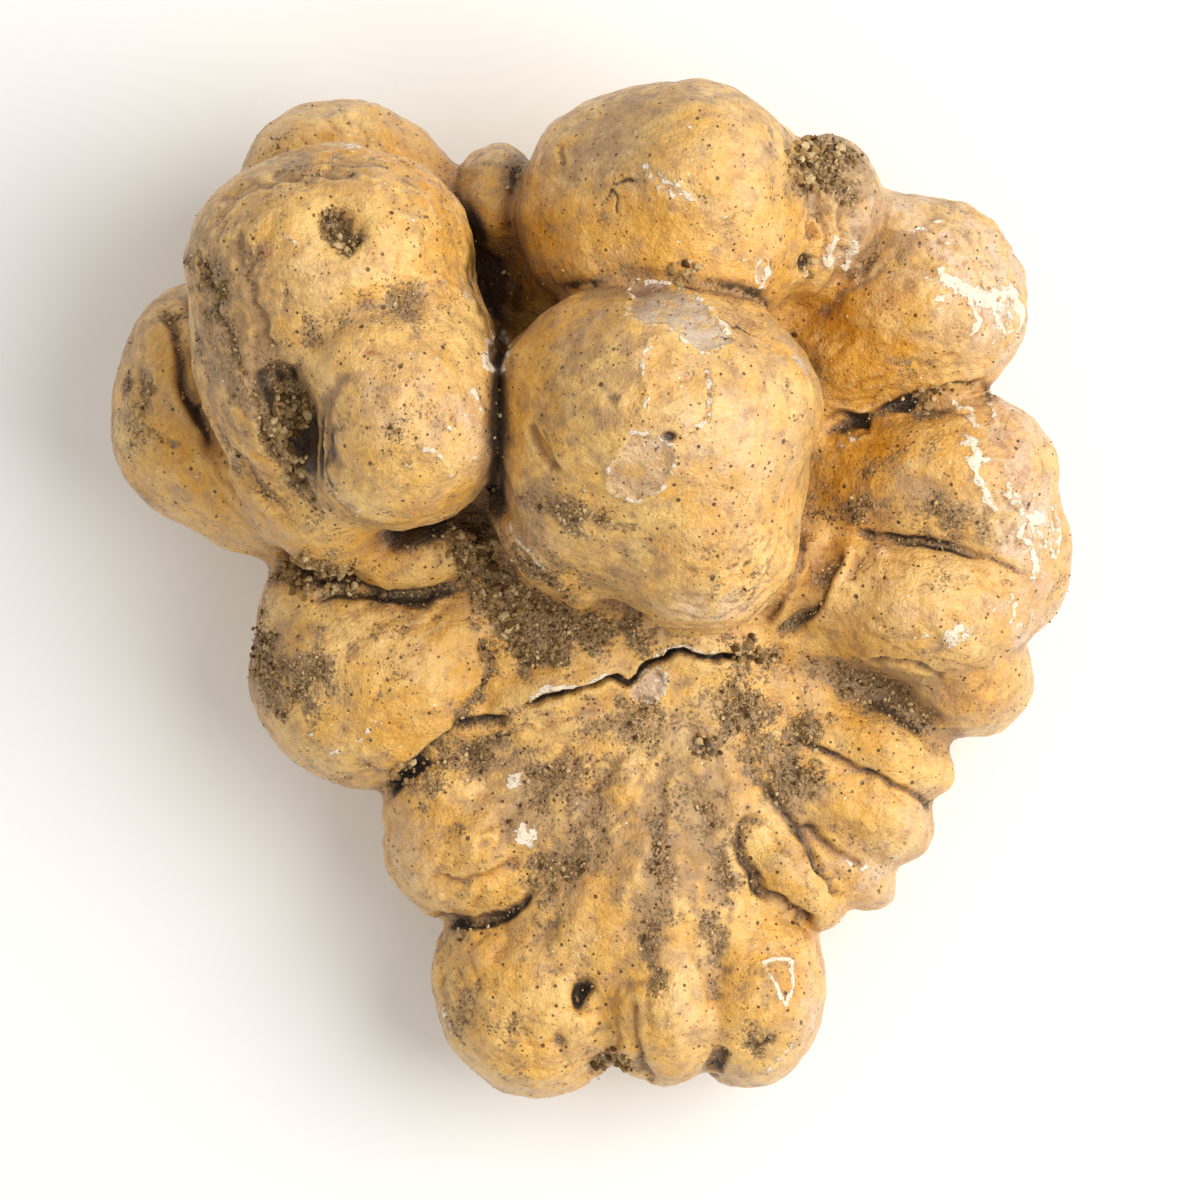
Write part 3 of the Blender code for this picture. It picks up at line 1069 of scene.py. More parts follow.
CRACK_MARKS = (
    Fold(
        ((-8.2, -13.5), (-6.1, -11.9), (-2.7, -10.9), (0.5, -10), (2.9, -9.1), (4, -9.8), (5.7, -8),
         (7.8, -7), (9.4, -6.3), (12.4, -7.1), (14.7, -7.2), (18.9, -6.9)),
        0.42, 2.4, Profile.SLOT, tinted(dark=1.4), 0.3, step=0.9,
    ),
    Fold(((-6.8, -11.4), (-4.4, -10.4), (-2.4, -10.1), (0.7, -9.2), (3, -8.3)), 0.5, -0.15, Profile.ROUND,
         tinted(chalk=1.3), 0.3),
    Fold(((6.2, -6.9), (7.9, -6.2), (9.6, -5.5), (12.4, -6.3), (14.8, -6.4)), 0.35, -0.1, Profile.ROUND,
         tinted(chalk=1.2, rust=0.3), 0.3),
    Fold(((-22, -21.6), (-18.3, -18.2), (-14.6, -15.1), (-12, -13.9), (-8, -13.6)), 1.2, 1.6,
         Profile.VALLEY, tinted(soil=0.5, dark=0.6), step=0.7),
    Peel(((4.2, -10.6), (5.2, -8.9), (7.4, -8.2), (8.2, -10.5), (6.5, -12.1), (4.6, -11.7)), 0.3, 0.2,
         tinted(pale=1.2, chalk=0.35), tinted(chalk=0.6)),
    Fold(((-14.6, -15.1), (-12.6, -11.7), (-10.9, -8.3), (-11.7, -4.6)), 1.4, 0.9, Profile.VALLEY,
         tinted(soil=0.7)),
    Fold(((-12, -13), (-7.5, -8.5), (-3, -7.5)), 2, 0.6, Profile.ROUND),
    *tinted_ovals(Tint.SOIL, (-7.5, -0.5, 8, 5.5, -35, 1.5), (-12.5, 5.5, 3, 4, 0, 1.3),
            (2, -4.6, 8.5, 2.4, -5, 1.1),
            (-6, -6.5, 6, 2.5, 20, 0.8), (17, -6, 3.4, 2.4, 0, 1.2)),
)
LOWER_LEFT_MARKS = (
    *tinted_ovals(Tint.SOIL, (-30.3, -9.6, 5, 4.2, 20, 1.2), (-29.5, 1.9, 5, 1.8, 5, 1.4),
            (-35.5, -6, 2.6, 7, 5, 0.8),
            (-26, -19.5, 6, 2, 10, 0.5), (-22.5, -4.5, 2.5, 2, 0, 0.3)),
    *tinted_ovals(Tint.GOLD_AND_SHADE, (-21, -14, 5, 4, 30, 0.6), (-17.5, 3.5, 5, 3, 10, 0.5)),
    *tinted_ovals(Tint.RUST, (-17, 7, 2.6, 1.2, 10, 0.5)),
    pale_edge((-29.9, -18.6), (-27.4, -17.4), (-25, -15.7), (-22.8, -13.1), width=0.45, rise=0.15,
              amount=0.9),
    pale_edge((-31, -15.6), (-29, -14.8), width=0.35, rise=0.15, amount=0.8),
    Fold(((-30, -1), (-26, 0.2), (-20, -0.6), (-13.5, 1)), 0.9, 0.9, Profile.VALLEY, tinted(soil=0.5)),
    Wrinkles((-8, 4), (6, 26), (185, 265), Course.OUTWARD, 11, 2.8, 0.4, (12, 36)),
)
FAN_MARKS = (
    Wrinkles((10.8, -8.5), (5, 48), (-172, -100), Course.OUTWARD, 15, 6.4, 0.9),
    Wrinkles((10.8, -8.5), (6, 46), (-115, -45), Course.OUTWARD, 15, 5.6, 0.6),
    Wrinkles((14, -10), (6, 28), (-55, -10), Course.OUTWARD, 11, 2.4, 0.35),
    Wrinkles((-2, -36), (7, 19), (150, 350), Course.AROUND, 9, 3.4, 0.5),
    Fold(((20.5, -15.4), (26.6, -17.9), (29.9, -19.5), (34.3, -21.7), (38.6, -24.2)), 0.6, 0.9,
         Profile.VALLEY,
         tinted(dark=0.6)),
    Fold(((17.5, -19.5), (20.5, -23.3), (23.6, -27.3), (25.7, -31.2), (27.6, -33.4)), 0.7, 1, Profile.VALLEY,
         tinted(soil=0.2, dark=0.5)),
    Fold(((22.6, -24.6), (24, -26.1), (26.3, -28.2), (29.6, -29.6)), 1, 0.9, Profile.VALLEY,
         tinted(dark=0.3)),
    pale_edge((26.6, -28.6), (28.4, -29.5), (30, -29.6), width=0.45, rise=0.2, amount=0.9),
    Fold(((19, -24.6), (16.6, -25), (16.1, -27.5), (17, -29.8), (18.4, -31.9), (21.7, -34), (24.4, -36.4)),
         1, 1.2, Profile.VALLEY, tinted(soil=0.3, dark=0.3)),
    Fold(((-17.6, -34.9), (-14.2, -35.7), (-9.7, -35.1), (-7.6, -33.7), (-6, -32.1)), 0.9, 1.2,
         Profile.VALLEY,
         tinted(soil=0.4, dark=0.4)),
    Fold(((-18, -31), (-12, -31.4), (-7, -29)), 1.4, 0.7, Profile.ROUND, tinted(soil=0.15)),
    Fold(((5.6, -43.6), (4.5, -45.2), (4.4, -46.8), (5.3, -50.8), (7.1, -54)), 1.1, 1.1, Profile.VALLEY,
         tinted(chalk=0.3)),
    Fold(((14.5, -49), (13.4, -51.4), (11.6, -54.4)), 1.3, 1.3, Profile.VALLEY, tinted(dark=0.2)),
    pale_edge((-17.1, -42.1), (-15.7, -44.2), (-14.8, -47.5), (-13.2, -50), width=0.45, rise=0.2, amount=0.6),
    Fold(((18.6, -40), (20.2, -39.4), (21.7, -39.8), (21.6, -42.2), (20.9, -44.2), (19.8, -42)), 0.34, -0.25,
         Profile.ROUND, tinted(chalk=1.2), 0.15, closed=True),
    pale_edge((18, -51.6), (20, -50.6), (22.4, -48.4), width=0.5, rise=0.15, amount=0.8),
    *(Fold(path, 2.4, 0.45, Profile.ROUND, tinted(dust=0.4, soil=0.15), 1.3) for path in (
        ((3, -17), (-1, -26), (-4, -36), (-6, -43)),
        ((7, -17), (7.4, -27), (6.6, -37), (5.4, -44)),
        ((12, -20), (13.2, -29), (13.2, -38), (12.4, -46)),
        ((-2, -18), (-9, -26), (-13, -31), (-17, -38)),
    )),
    Spot((-7.9, -20.3), (1.4, 0.9), 20, -0.15, tinted(chalk=1.1)),
    Spot((-6.7, -26.1), (1.3, 1.5), 0, -0.25, tinted(chalk=1.5), 0.5),
    Spot((12.4, -16.5), (1.8, 1), 25, -0.3, tinted(soil=1.5, dark=0.9), 0.8),
    Spot((-0.7, -43.5), (1.2, 1.8), 0, 2.4, tinted(dark=0.9, soil=0.9)),
    Spot((-3.4, -29.9), (4, 2.2), 35, 0.9, tinted(soil=1.2), 0.6),
    Spot((-8.3, -46.9), (2, 2.4), 0, 0.6, tinted(soil=1.1), 0.6),
    Spot((2, -51.2), (3.4, 1.8), 0, 0.9, tinted(soil=1.3), 0.6),
    Spot((17.8, -48.3), (2.6, 2), 20, 0.8, tinted(soil=1.3), 0.6),
    Spot((-3.4, -48.5), (0.9, 1.3), 0, 0.7, tinted(soil=0.7, dark=0.3)),
    *tinted_ovals(Tint.SOIL, (6, -21, 9, 7, 0, 0.4), (23.5, -14.3, 2.4, 2, 0, 1.3),
            (22.3, -20.4, 4.6, 2.4, 10, 1.3), (16.5, -12, 3, 4, 20, 1),
            (19, -17, 4, 3.5, 40, 0.8), (5, -13.5, 8, 3, 0, 0.6), (-12, -17.2, 7.5, 2.4, 38, 1),
            (-3, -20.5, 5, 3, 30, 0.7), (6.5, -37.6, 1.6, 3.4, 0, 0.9), (7.4, -42, 1.2, 2.2, 0, 0.8),
            (-14.5, -26.1, 2, 1.4, 20, 0.6), (7.6, -28.5, 1.8, 5, -4, 0.9), (1.5, -26, 1.8, 5, 20, 0.6),
            (14.4, -30, 1.6, 4, 0, 0.7), (-13, -37, 3, 1.4, 20, 0.6), (13.5, -38, 1.6, 3, -10, 0.5),
            (-14, -46, 1.6, 2.6, 0, 0.6), (11, -22, 3, 3, 0, 0.45), (-17.5, -20.5, 2, 2.5, 30, 0.7)),
    *tinted_ovals(Tint.GOLD_AND_SHADE, (-7, -40, 4, 5, 0, 0.5), (20.5, -44, 3, 5, 0, 0.5), (-12, -28, 5, 3, 20, 0.3),
            (28, -15, 6, 2.4, -20, 0.35), (2, -35, 3, 5, 20, 0.4)),
    *tinted_ovals(Tint.CHALK, (31, -30, 2.6, 2, -40, 0.5), (24, -46.5, 1.8, 4.5, 10, 0.4),
            (9.6, -48, 2, 3, 0, 0.3)),
    *tinted_ovals(Tint.PALE_AND_LIT, (24.5, -46, 2.4, 6, 10, 0.8), (31, -30.5, 3.5, 3, -40, 0.9), (36, -24, 4, 3, -30, 0.5),
            (-19, -28, 2.4, 5, 15, 0.6), (11, -44, 3.5, 5, 0, 0.3)),
)
LEFT_MARKS = (
    Spot((-25.3, 36.6), (1.8, 1.5), 0, 1.2, tinted(soil=1.5, dark=0.6), 0.6),
    Spot((-26.6, 39), (2, 1.6), 40, 0.3, tinted(soil=1.3), 0.6),
    Spot((-33.8, 34.8), (1.8, 2), 0, 0.35, tinted(rust=0.9)),
    Spot((-22.5, 24.9), (1, 0.9), 0, 0.2, tinted(rust=1.1)),
    Spot((-19.7, 17.4), (2.4, 3), -20, 0.45, tinted(soil=0.8), 0.6),
    Spot((-31.5, 16.8), (3.4, 6.6), 8, 0, tinted(soil=0.9, dust=0.6), 1),
    Spot((-28.9, 15), (2.2, 4.4), 8, 0.25, tinted(dark=1.4), 0.5),
    Spot((-33.6, 20.5), (1.1, 3), 20, 0.25, tinted(dark=0.9), 0.5),
    Wrinkles((-26, 31), (8, 18), (15, 175), Course.AROUND, 12, 1.8, 0.35, (30, 60)),
    Wrinkles((-22, 24), (9, 24), (110, 250), Course.AROUND, 16, 2.6, 0.5, (22, 58)),
    Fold(((-16.5, 30.5), (-22, 29.5), (-27, 28), (-30.5, 24.5)), 3.2, 1.3, Profile.ROUND, tinted(soil=0.35)),
    Fold(((-35.6, 21.7), (-33, 22.9), (-30.5, 22.4)), 1.3, 0.9, Profile.ROUND, tinted(dark=0.3)),
    pale_edge((-20.9, 39.5), (-18.4, 38.6), (-16.2, 37.2), width=0.5, rise=0.25, amount=0.6),
    pale_edge((-18.8, 33.4), (-15, 32), (-11.4, 30), width=0.5, rise=0.3, amount=0.6),
    pale_edge((-32, 37), (-29.6, 36.2), (-28.4, 34.8), width=0.5, rise=0.2, amount=0.7),
    Peel(((-9.4, 27.4), (-10.8, 25.8), (-10.8, 23.6), (-9.4, 22.6), (-8.6, 25)), 0.2, 0.3,
         tinted(pale=1.1, chalk=0.25), tinted(chalk=1.2), 0.45),
    pale_edge((-12.9, 21.4), (-11.8, 20.2), (-10.9, 18.4), width=0.8, rise=0.3, amount=1),
    pale_edge((-15.1, 18.6), (-14.6, 17.2), (-13.4, 16.4), width=0.7, rise=0.3, amount=0.9),
    pale_edge((-17.7, 15.2), (-15.6, 14.2), (-14, 12), width=0.8, rise=0.3, amount=0.9),
    pale_edge((-19.6, 13), (-17.8, 12.6), width=0.5, rise=0.2, amount=0.8),
    Fold(((-41.5, 37), (-39, 30), (-35.8, 22), (-32.6, 14), (-28, 8.8)), 0.9, 0.9, Profile.VALLEY,
         tinted(dust=0.6, soil=0.25), 0.9),
    Fold(((-37, 38.5), (-35.2, 31), (-33.2, 24.4)), 0.9, 0.7, Profile.VALLEY, tinted(dust=0.6), 0.9),
    Fold(((-39.5, 40.5), (-32, 43.5), (-24, 43.8)), 0.8, 0.6, Profile.VALLEY, tinted(dust=0.5), 0.9),
    Fold(((-25.6, 12.2), (-27.6, 15.5), (-27.4, 20), (-24.6, 23.4)), 1.2, 0.5, Profile.ROUND,
         tinted(dust=0.6), 0.2),
    *flecks((-20.2, 21.8, 10), (-24, 8.6, 20), (-26, 9.6, -30), (-16, 24, 60), (-12, 14, 40)),
    *tinted_ovals(Tint.SOIL, (-38, 26, 2.4, 9, 12, 0.7), (-40.5, 34, 2, 4, 20, 0.8), (-26, 45, 8, 1.6, 0, 0.45),
            (-20, 32, 5, 2, -10, 0.4), (-28, 8.5, 5, 2, -30, 0.5), (-14, 10, 2.5, 2, 0, 0.4),
            (-30, 28, 2.6, 3, 0, 0.5)),
    *tinted_ovals(Tint.PALE_AND_LIT, (-21, 20, 7, 6, 0, 0.4), (-31, 33.5, 5, 3.5, 0, 0.3), (-12, 17, 3, 5, 0, 0.5)),
    *tinted_ovals(Tint.GOLD_AND_SHADE, (-33, 30.5, 4, 5, 0, 0.4), (-19, 15, 5, 4, 0, 0.3), (-37, 16, 3, 7, 20, 0.4)),
    # far left lobe
    Fold(((-45.5, 31.3), (-43.9, 26.5), (-42.9, 21.7), (-40.2, 17.4), (-35.4, 11.6), (-30.8, 6.2)), 1.4, 1,
         Profile.VALLEY, tinted(soil=0.35, dark=0.35)),
    Spot((-47.6, 22), (1.6, 3.2), 10, 0.6, tinted(soil=0.5), 0.8),
    Spot((-45.6, 16), (2, 1.6), 0, 0.7, tinted(soil=0.4), 0.5),
    Spot((-44.5, 30), (2, 2), 0, 0.5, tinted(soil=0.7), 0.6),
    *tinted_ovals(Tint.GOLD_AND_SHADE, (-40, 13, 6.5, 4, -35, 1), (-46, 26, 2.6, 3, 0, 0.6), (-33, 5.5, 5, 2, -35, 0.6)),
    *tinted_ovals(Tint.SOIL, (-49, 18, 2, 5, 10, 0.6)),
    # lobes behind
    Spot((-25.2, 47.2), (1.4, 0.7), -20, -0.2, tinted(chalk=1.1)),
    *tinted_ovals(Tint.GOLD_AND_SHADE, (-27, 47, 9, 4, 0, 0.9), (-17, 43, 6, 4, -30, 1), (-8.5, 36, 5, 8, 0, 1.1)),
    *tinted_ovals(Tint.SOIL, (-15, 42.2, 2.4, 1.4, -30, 0.6), (-33, 48, 4, 2, 30, 0.5), (-9, 46, 4, 1.6, 0, 0.4)),
    Wrinkles((-20, 40), (3, 16), (60, 170), Course.OUTWARD, 9, 1.8, 0.5, (14, 38)),
)
# Patches of dust, then patches of painted shade where shade falls in gaps and creases.
DUST_AND_SHADE_MARKS = tinted_ovals(
    Tint.DUST_AND_SHADE,
    (-38.5, 30, 5, 11, 15, 0.9), (-34, 20, 4, 9, 10, 0.8), (-47.5, 24, 3.5, 9, 8, 0.8),
    (-30, 44, 10, 2.5, 5, 0.6),
    (-25, 12, 8, 3, -30, 0.5), (-24, 29, 9, 3, -10, 0.5), (0, 46, 6, 7, 20, 0.6), (10, 51, 10, 3, 0, 0.6),
    (-4, 38, 3, 8, 0, 0.5), (-10, 44, 5, 4, 0, 0.6), (-2, 23, 6, 8, 20, 0.8), (-4, 10, 5, 6, -20, 0.6),
    (4, 3, 9, 4, -10, 0.55), (18, 23, 3, 7, 20, 0.5), (2, 30, 6, 3, 20, 0.5), (26, 44, 6, 6, 0, 1.2),
    (31, 36, 5, 4, -20, 0.7), (36, 26, 8, 4, 20, 0.4), (40, 39, 5, 3, -35, 0.5), (33, 11, 8, 3, 5, 0.7),
    (40, 8, 6, 3, -10, 0.5), (36, -11, 9, 3, -20, 0.6), (25, -8, 7, 3, -8, 0.7), (-31, -8, 5, 7, 10, 0.6),
    (-25, -18, 6, 3, 10, 0.4), (6, -20, 12, 8, 0, 0.6), (-10, -20, 8, 5, 35, 0.6), (0, -30, 6, 10, 15, 0.5),
    (10, -32, 5, 10, 0, 0.5), (-10, -44, 7, 6, 0, 0.4), (18, -45, 6, 6, 0, 0.35), (22, -21, 6, 4, -20, 0.6),
) + tinted_ovals(
    # Painted shade: dark where shade falls in the gaps between lobes and in creases.
    Tint.DARK,
    (-8.5, 31.5, 3.5, 5.5, 10, 0.75), (-12, 34, 2, 5, 0, 0.6), (-3, 32.5, 3, 2, 0, 0.5),
    (-11, 8, 2, 3, 0, 0.6), (-26, 2.2, 6, 1.2, -5, 0.35), (19.5, 34, 1.4, 3, 0, 0.4),
)
MARKS = (
    CROWN_MARKS + TOP_MARKS + UPPER_WING_MARKS + LOWER_WING_MARKS
    + CRACK_MARKS + LOWER_LEFT_MARKS + FAN_MARKS + LEFT_MARKS + DUST_AND_SHADE_MARKS
)


# --------------------------------------------------------------------------- the truffle's skin
@dataclass
class Truffle:
    """The grown skin of the truffle, in one piece, closed all round."""

    node: str = "truffle"
    slot: str = "skin"
    name: str = "truffle_skin"
    cell: float = 0.6
    seed: int = 7
    lobes: tuple[Lobe, ...] = (
        HEART_LOBES + RIGHT_LOBES + LOWER_LEFT_LOBES + FAN_LOBES + LEFT_LOBES + CROWN_LOBES
    )
    hollows: tuple[Lobe, ...] = HOLLOWS
    marks: tuple[Fold | Spot | Peel | Wrinkles, ...] = MARKS
    swell: float = 0.9
    knobble: float = 0.35
    pucker: float = 0.08
    shift: np.ndarray = field(default_factory=lambda: np.zeros(3))
    shelter: np.ndarray = field(default_factory=lambda: np.zeros(0))
    dip: np.ndarray = field(default_factory=lambda: np.zeros(0))

    def grow(self) -> SkinDraft:
        """Shape the skin: lobes, swellings, marks and fine puckering.

        Returns:
            The finished draft, with its mesh.
        """
        grid = SpaceGrid.around(self.lobes, self.cell)
        for lobe in self.lobes:
            grid.take(lobe)
        for hollow in self.hollows:
            grid.take(hollow, carve=True)
        grid.level_underside()
        points, faces = grid.skin()
        LOG.info("skin net: %d points", len(points))
        tops = self.faces_seen_from_above(points, faces)
        points, groups = refine(points, faces, tops)
        draft = SkinDraft(build_mesh(self.name, points, groups), Noise(self.seed))
        LOG.info("fine skin: %d points", len(draft.places))
        level = draft.places[:, 2] < 0.05
        draft.places = draft.soften(draft.places, 3)
        draft.places[level, 2] = 0.0
        self.swell_up(draft)
        draft.look_from_above()
        for mark in self.marks:
            mark.apply(draft)
        draft.rise = draft.soften(draft.rise, 1)
        self.keep_underside_level(draft)
        draft.press()
        self.shelter = self.sheltered(draft, grid)
        self.settle_soil_and_paint_shade(draft)
        self.pucker_up(draft)
        return draft

    def faces_seen_from_above(self, points: np.ndarray, faces: np.ndarray) -> np.ndarray:
        """Faces that deserve finer detail, because they look upwards into the open.

        Args:
            points: Points of the net.
            faces: Its faces.

        Returns:
            True for each such face.
        """
        corners = points[faces]
        across = corners[:, 2] - corners[:, 0]
        along = corners[:, 3] - corners[:, 1]
        outward = np.cross(across, along)
        lift = outward[:, 2] / np.maximum(np.linalg.norm(outward, axis=1), 1e-9)
        middle = corners.mean(axis=1)
        low = middle[:, :2].min(axis=0)
        cell = (middle[:, :2] - low).astype(int)
        tallest = np.full(cell.max(axis=0) + 1, -1e9)
        np.maximum.at(tallest, (cell[:, 0], cell[:, 1]), middle[:, 2])
        below = tallest[cell[:, 0], cell[:, 1]] - middle[:, 2]
        return (lift > -0.1) & (below < 7.0) & (middle[:, 2] > 6.0)

    def keep_underside_level(self, draft: SkinDraft) -> None:
        """Fade every rise out near the ground, so that the flat spot stays flat.

        Args:
            draft: The skin.
        """
        draft.rise *= ramp(draft.places[:, 2], 0.2, 3.0)

    def swell_up(self, draft: SkinDraft) -> None:
        """Give the smooth lobes their uneven swellings.

        Args:
            draft: The skin.
        """
        noise, places = draft.noise, draft.places
        draft.rise = self.swell * noise.layered(places, 15.0, 2)
        draft.rise += self.knobble * noise.layered(places + 91.0, 5.5, 2)
        self.keep_underside_level(draft)
        draft.press()

    def sheltered(self, draft: SkinDraft, grid: SpaceGrid) -> np.ndarray:
        """How deep in a fold or between lobes each point lies, 0 in the open to 1.

        Args:
            draft: The skin.
            grid: Distances to the smooth body.

        Returns:
            One value for each point.
        """
        outward = draft.outward()
        deep = np.zeros(len(draft.places))
        for reach, weight in ((1.6, 0.35), (4.5, 0.65)):
            room = grid.at(draft.places + outward * reach) / reach
            deep += weight * np.clip(1.0 - room, 0.0, 1.0)
        flat = draft.soften(draft.places, 8)
        dip = ((flat - draft.places) * outward).sum(axis=1)
        self.dip = np.clip(dip / 0.12, -1.0, 1.0)
        return draft.soften(np.clip(deep, 0, 1), 3)

    def settle_soil_and_paint_shade(self, draft: SkinDraft) -> None:
        """Let soil settle in sheltered places and dips, and paint shade: dark deep in shelter, deeper gold in
        shelter, and the dust colour on steep sides, in dips and in shelter.

        Args:
            draft: The skin.
        """
        noise, places = draft.noise, draft.places
        cloud = noise.layered(places + 17.0, 7.0, 3)
        film = noise.layered(places + 57.0, 2.2, 3)
        soil = draft.tints[Tint.SOIL]
        soil += 0.40 * ramp(self.shelter, 0.4, 0.95) + 0.30 * np.clip(self.dip, 0, 1)
        soil += 0.34 * cloud + 0.30 * film - 0.05
        draft.tints[Tint.SOIL] = np.clip(soil, 0.0, 1.4)
        # Dust at random, plus painted shade: the dust colour on steep sides, in dips and in sheltered places.
        steep = ramp(1.0 - draft.outward()[:, 2], 0.35, 1.1)
        dust = draft.tints[Tint.DUST_AND_SHADE] + 0.5 * steep + 0.35 * ramp(self.shelter, 0.3, 0.9)
        dust += 0.40 * noise.layered(places + 83.0, 10.0, 4) + 0.3 * np.clip(self.dip, -1, 1) - 0.05
        draft.tints[Tint.DUST_AND_SHADE] = np.clip(dust, 0.0, 1.4)
        # Painted shade: dark deep in folds and between lobes.
        draft.tints[Tint.DARK] += 0.85 * ramp(self.shelter, 0.55, 0.95)
        # Painted shade: deeper gold in sheltered places, with random tone on top.
        gold = draft.tints[Tint.GOLD_AND_SHADE] + 0.2 * ramp(self.shelter, 0.25, 0.8)
        draft.tints[Tint.GOLD_AND_SHADE] = np.clip(gold + 0.25 * noise.layered(places + 3.0, 8.0, 2), 0.0, 1.2)

    def pucker_up(self, draft: SkinDraft) -> None:
        """Add the fine puckers of the skin, and the roughness of the soil that cakes it.

        Args:
            draft: The skin.
        """
        noise, places = draft.noise, draft.places
        caked = ramp(draft.tints[Tint.SOIL], 0.45, 0.9)
        draft.rise = self.pucker * noise.layered(places + 29.0, 1.7, 2)
        draft.rise += 0.09 * (noise.folded(places + 43.0, np.array([2.4, 2.4, 1.6]), 2) - 0.6)
        draft.rise += caked * (0.06 + 0.20 * noise.layered(places + 5.0, 0.8, 2))
        self.keep_underside_level(draft)
        draft.press()

    def build(self) -> tuple[bpy.types.Object, SkinDraft]:
        """Make the skin, in its place in the frame.

        Returns:
            The piece, and its draft, which says where soil can lie.
        """
        draft = self.grow()
        low, high = (np.array(corner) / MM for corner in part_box(self.node))
        middle = (draft.places.min(axis=0) + draft.places.max(axis=0)) / 2
        self.shift = (low + high) / 2 - middle
        self.shift[2] = 0.0
        draft.places += self.shift
        draft.write_places()
        for tint, layer in {**draft.tints, "shelter": self.shelter, "dip": 0.5 + 0.5 * self.dip}.items():
            name = tint.value if isinstance(tint, Tint) else tint
            attribute = draft.mesh.attributes.new(name, "FLOAT", "POINT")
            attribute.data.foreach_set("value", np.asarray(layer, np.float32))
        piece = bpy.data.objects.new(self.name, draft.mesh)
        bpy.context.scene.collection.objects.link(piece)
        return piece, draft


# --------------------------------------------------------------------------- loose soil
@dataclass
class SoilCrumbs:
    """Grains and clods of dry soil that lie in the folds and cling to the skin."""

    name: str = "soil_crumbs"
    slot: str = "soil"
    seed: int = 23
    grains: int = 6500
    strays: int = 1500
    small: float = 0.11
    large: float = 0.34
    bury: float = 0.25
    # heaps of larger crumbs: X, Y, reach and how many
    clods: tuple[tuple[float, float, float, int], ...] = (
        (9.8, 33.4, 1.6, 26), (23.8, 45.4, 3.2, 80), (-25.3, 36.4, 1.2, 22), (-31.6, 18.4, 2.4, 60),
        (-31.4, 13.6, 1.8, 24), (-30.4, 1.8, 2.6, 70), (-26.6, 1.2, 2.0, 40), (-12.6, 4.0, 2.6, 70),
        (-8.5, -1.5, 2.5, 50),
        (16.8, -6.2, 1.6, 24), (23.2, 34.4, 0.9, 10), (12.3, -16.5, 1.1, 10), (36.0, 20.9, 1.4, 12),
        (2.2, -51.0, 2.0, 18), (-19.8, -19.6, 1.6, 14),
    )

    def build(self, draft: SkinDraft, shift: np.ndarray, shelter: np.ndarray) -> bpy.types.Object:
        """Scatter the crumbs and join them in one piece.

        Args:
            draft: The skin they lie on.
            shift: How far the skin was moved to its place in the frame.
            shelter: How deep in a fold each point of the skin lies.

        Returns:
            The piece.
        """
        dice = np.random.default_rng(self.seed)
        outward = draft.outward()
        soil = draft.tints[Tint.SOIL]
        level = np.clip(outward[:, 2] + 0.25, 0.0, 1.0)
        weight = (ramp(soil, 0.35, 1.1) ** 1.5 + 0.1 * ramp(shelter, 0.5, 0.9)) * level
        # Few crumbs where painted shade is laid.
        weight *= 1.0 - 0.85 * ramp(draft.tints[Tint.DARK], 0.3, 0.9)
        weight *= 0.3 + draft.seen
        chosen = dice.choice(len(weight), self.grains, p=weight / weight.sum())
        anywhere = level * draft.seen + 0.02
        stray = dice.choice(len(weight), self.strays, p=anywhere / anywhere.sum())
        sizes = self.small + (self.large - self.small) * dice.random(self.grains) ** 3
        stray_sizes = self.small * (0.6 + 0.8 * dice.random(self.strays))
        numbers, size = [chosen, stray], [sizes, stray_sizes]
        plan = draft.places[:, :2] - shift[:2]
        for across, up, reach, count in self.clods:
            away = np.hypot(plan[:, 0] - across, plan[:, 1] - up)
            near = np.flatnonzero((away < reach) & (draft.seen > 0.3))
            if len(near):
                numbers.append(dice.choice(near, count))
                size.append(0.25 + 0.45 * dice.random(count) ** 1.5)
        number, size_of = np.concatenate(numbers), np.concatenate(size)
        centres = draft.places[number] + dice.normal(0.0, 0.12, (len(number), 3))
        centres += outward[number] * (size_of * (1 - 2 * self.bury) * dice.random(len(number)))[:, None]
        return self.join(centres, size_of, dice)

    def join(self, centres: np.ndarray, sizes: np.ndarray, dice: np.random.Generator) -> bpy.types.Object:
        """One piece with an uneven little stone at each place.

        Args:
            centres: Where the crumbs lie.
            sizes: Half the width of each.
            dice: Source of random numbers.

        Returns:
            The piece.
        """
        ball = bpy.data.meshes.new("crumb_ball")
        shape = bmesh.new()
        bmesh.ops.create_icosphere(shape, subdivisions=1, radius=1.0)
        shape.to_mesh(ball)
        shape.free()
        corners = np.array([vertex.co[:] for vertex in ball.vertices])
        faces = np.array([face.vertices[:] for face in ball.polygons])
        bpy.data.meshes.remove(ball)
        count = len(centres)
        spin = np.linalg.qr(dice.normal(size=(count, 3, 3)))[0]
        spin[np.linalg.det(spin) < 0, :, 0] *= -1
        squash = dice.uniform(0.55, 1.15, (count, 1, 3))
        uneven = dice.uniform(0.75, 1.25, (count, len(corners), 1))
        local = corners[None] * squash * uneven
        points = centres[:, None] + np.einsum("nij,nkj->nki", spin, local) * sizes[:, None, None]
        points[:, :, 2] = np.maximum(points[:, :, 2], 0.05)
        rings = faces[None] + (np.arange(count) * len(corners))[:, None, None]
        mesh = build_mesh(self.name, points.reshape(-1, 3), [rings.reshape(-1, 3)])
        mesh.shade_flat()
        shade = np.repeat(dice.random(count), len(corners))
        attribute = mesh.attributes.new("crumb", "FLOAT", "POINT")
        attribute.data.foreach_set("value", shade.astype(np.float32))
        piece = bpy.data.objects.new(self.name, mesh)
        bpy.context.scene.collection.objects.link(piece)
        return piece


# --------------------------------------------------------------------------- finishes
Socket = bpy.types.NodeSocket
Colour = tuple[float, float, float, float]
Feed = Socket | float | tuple


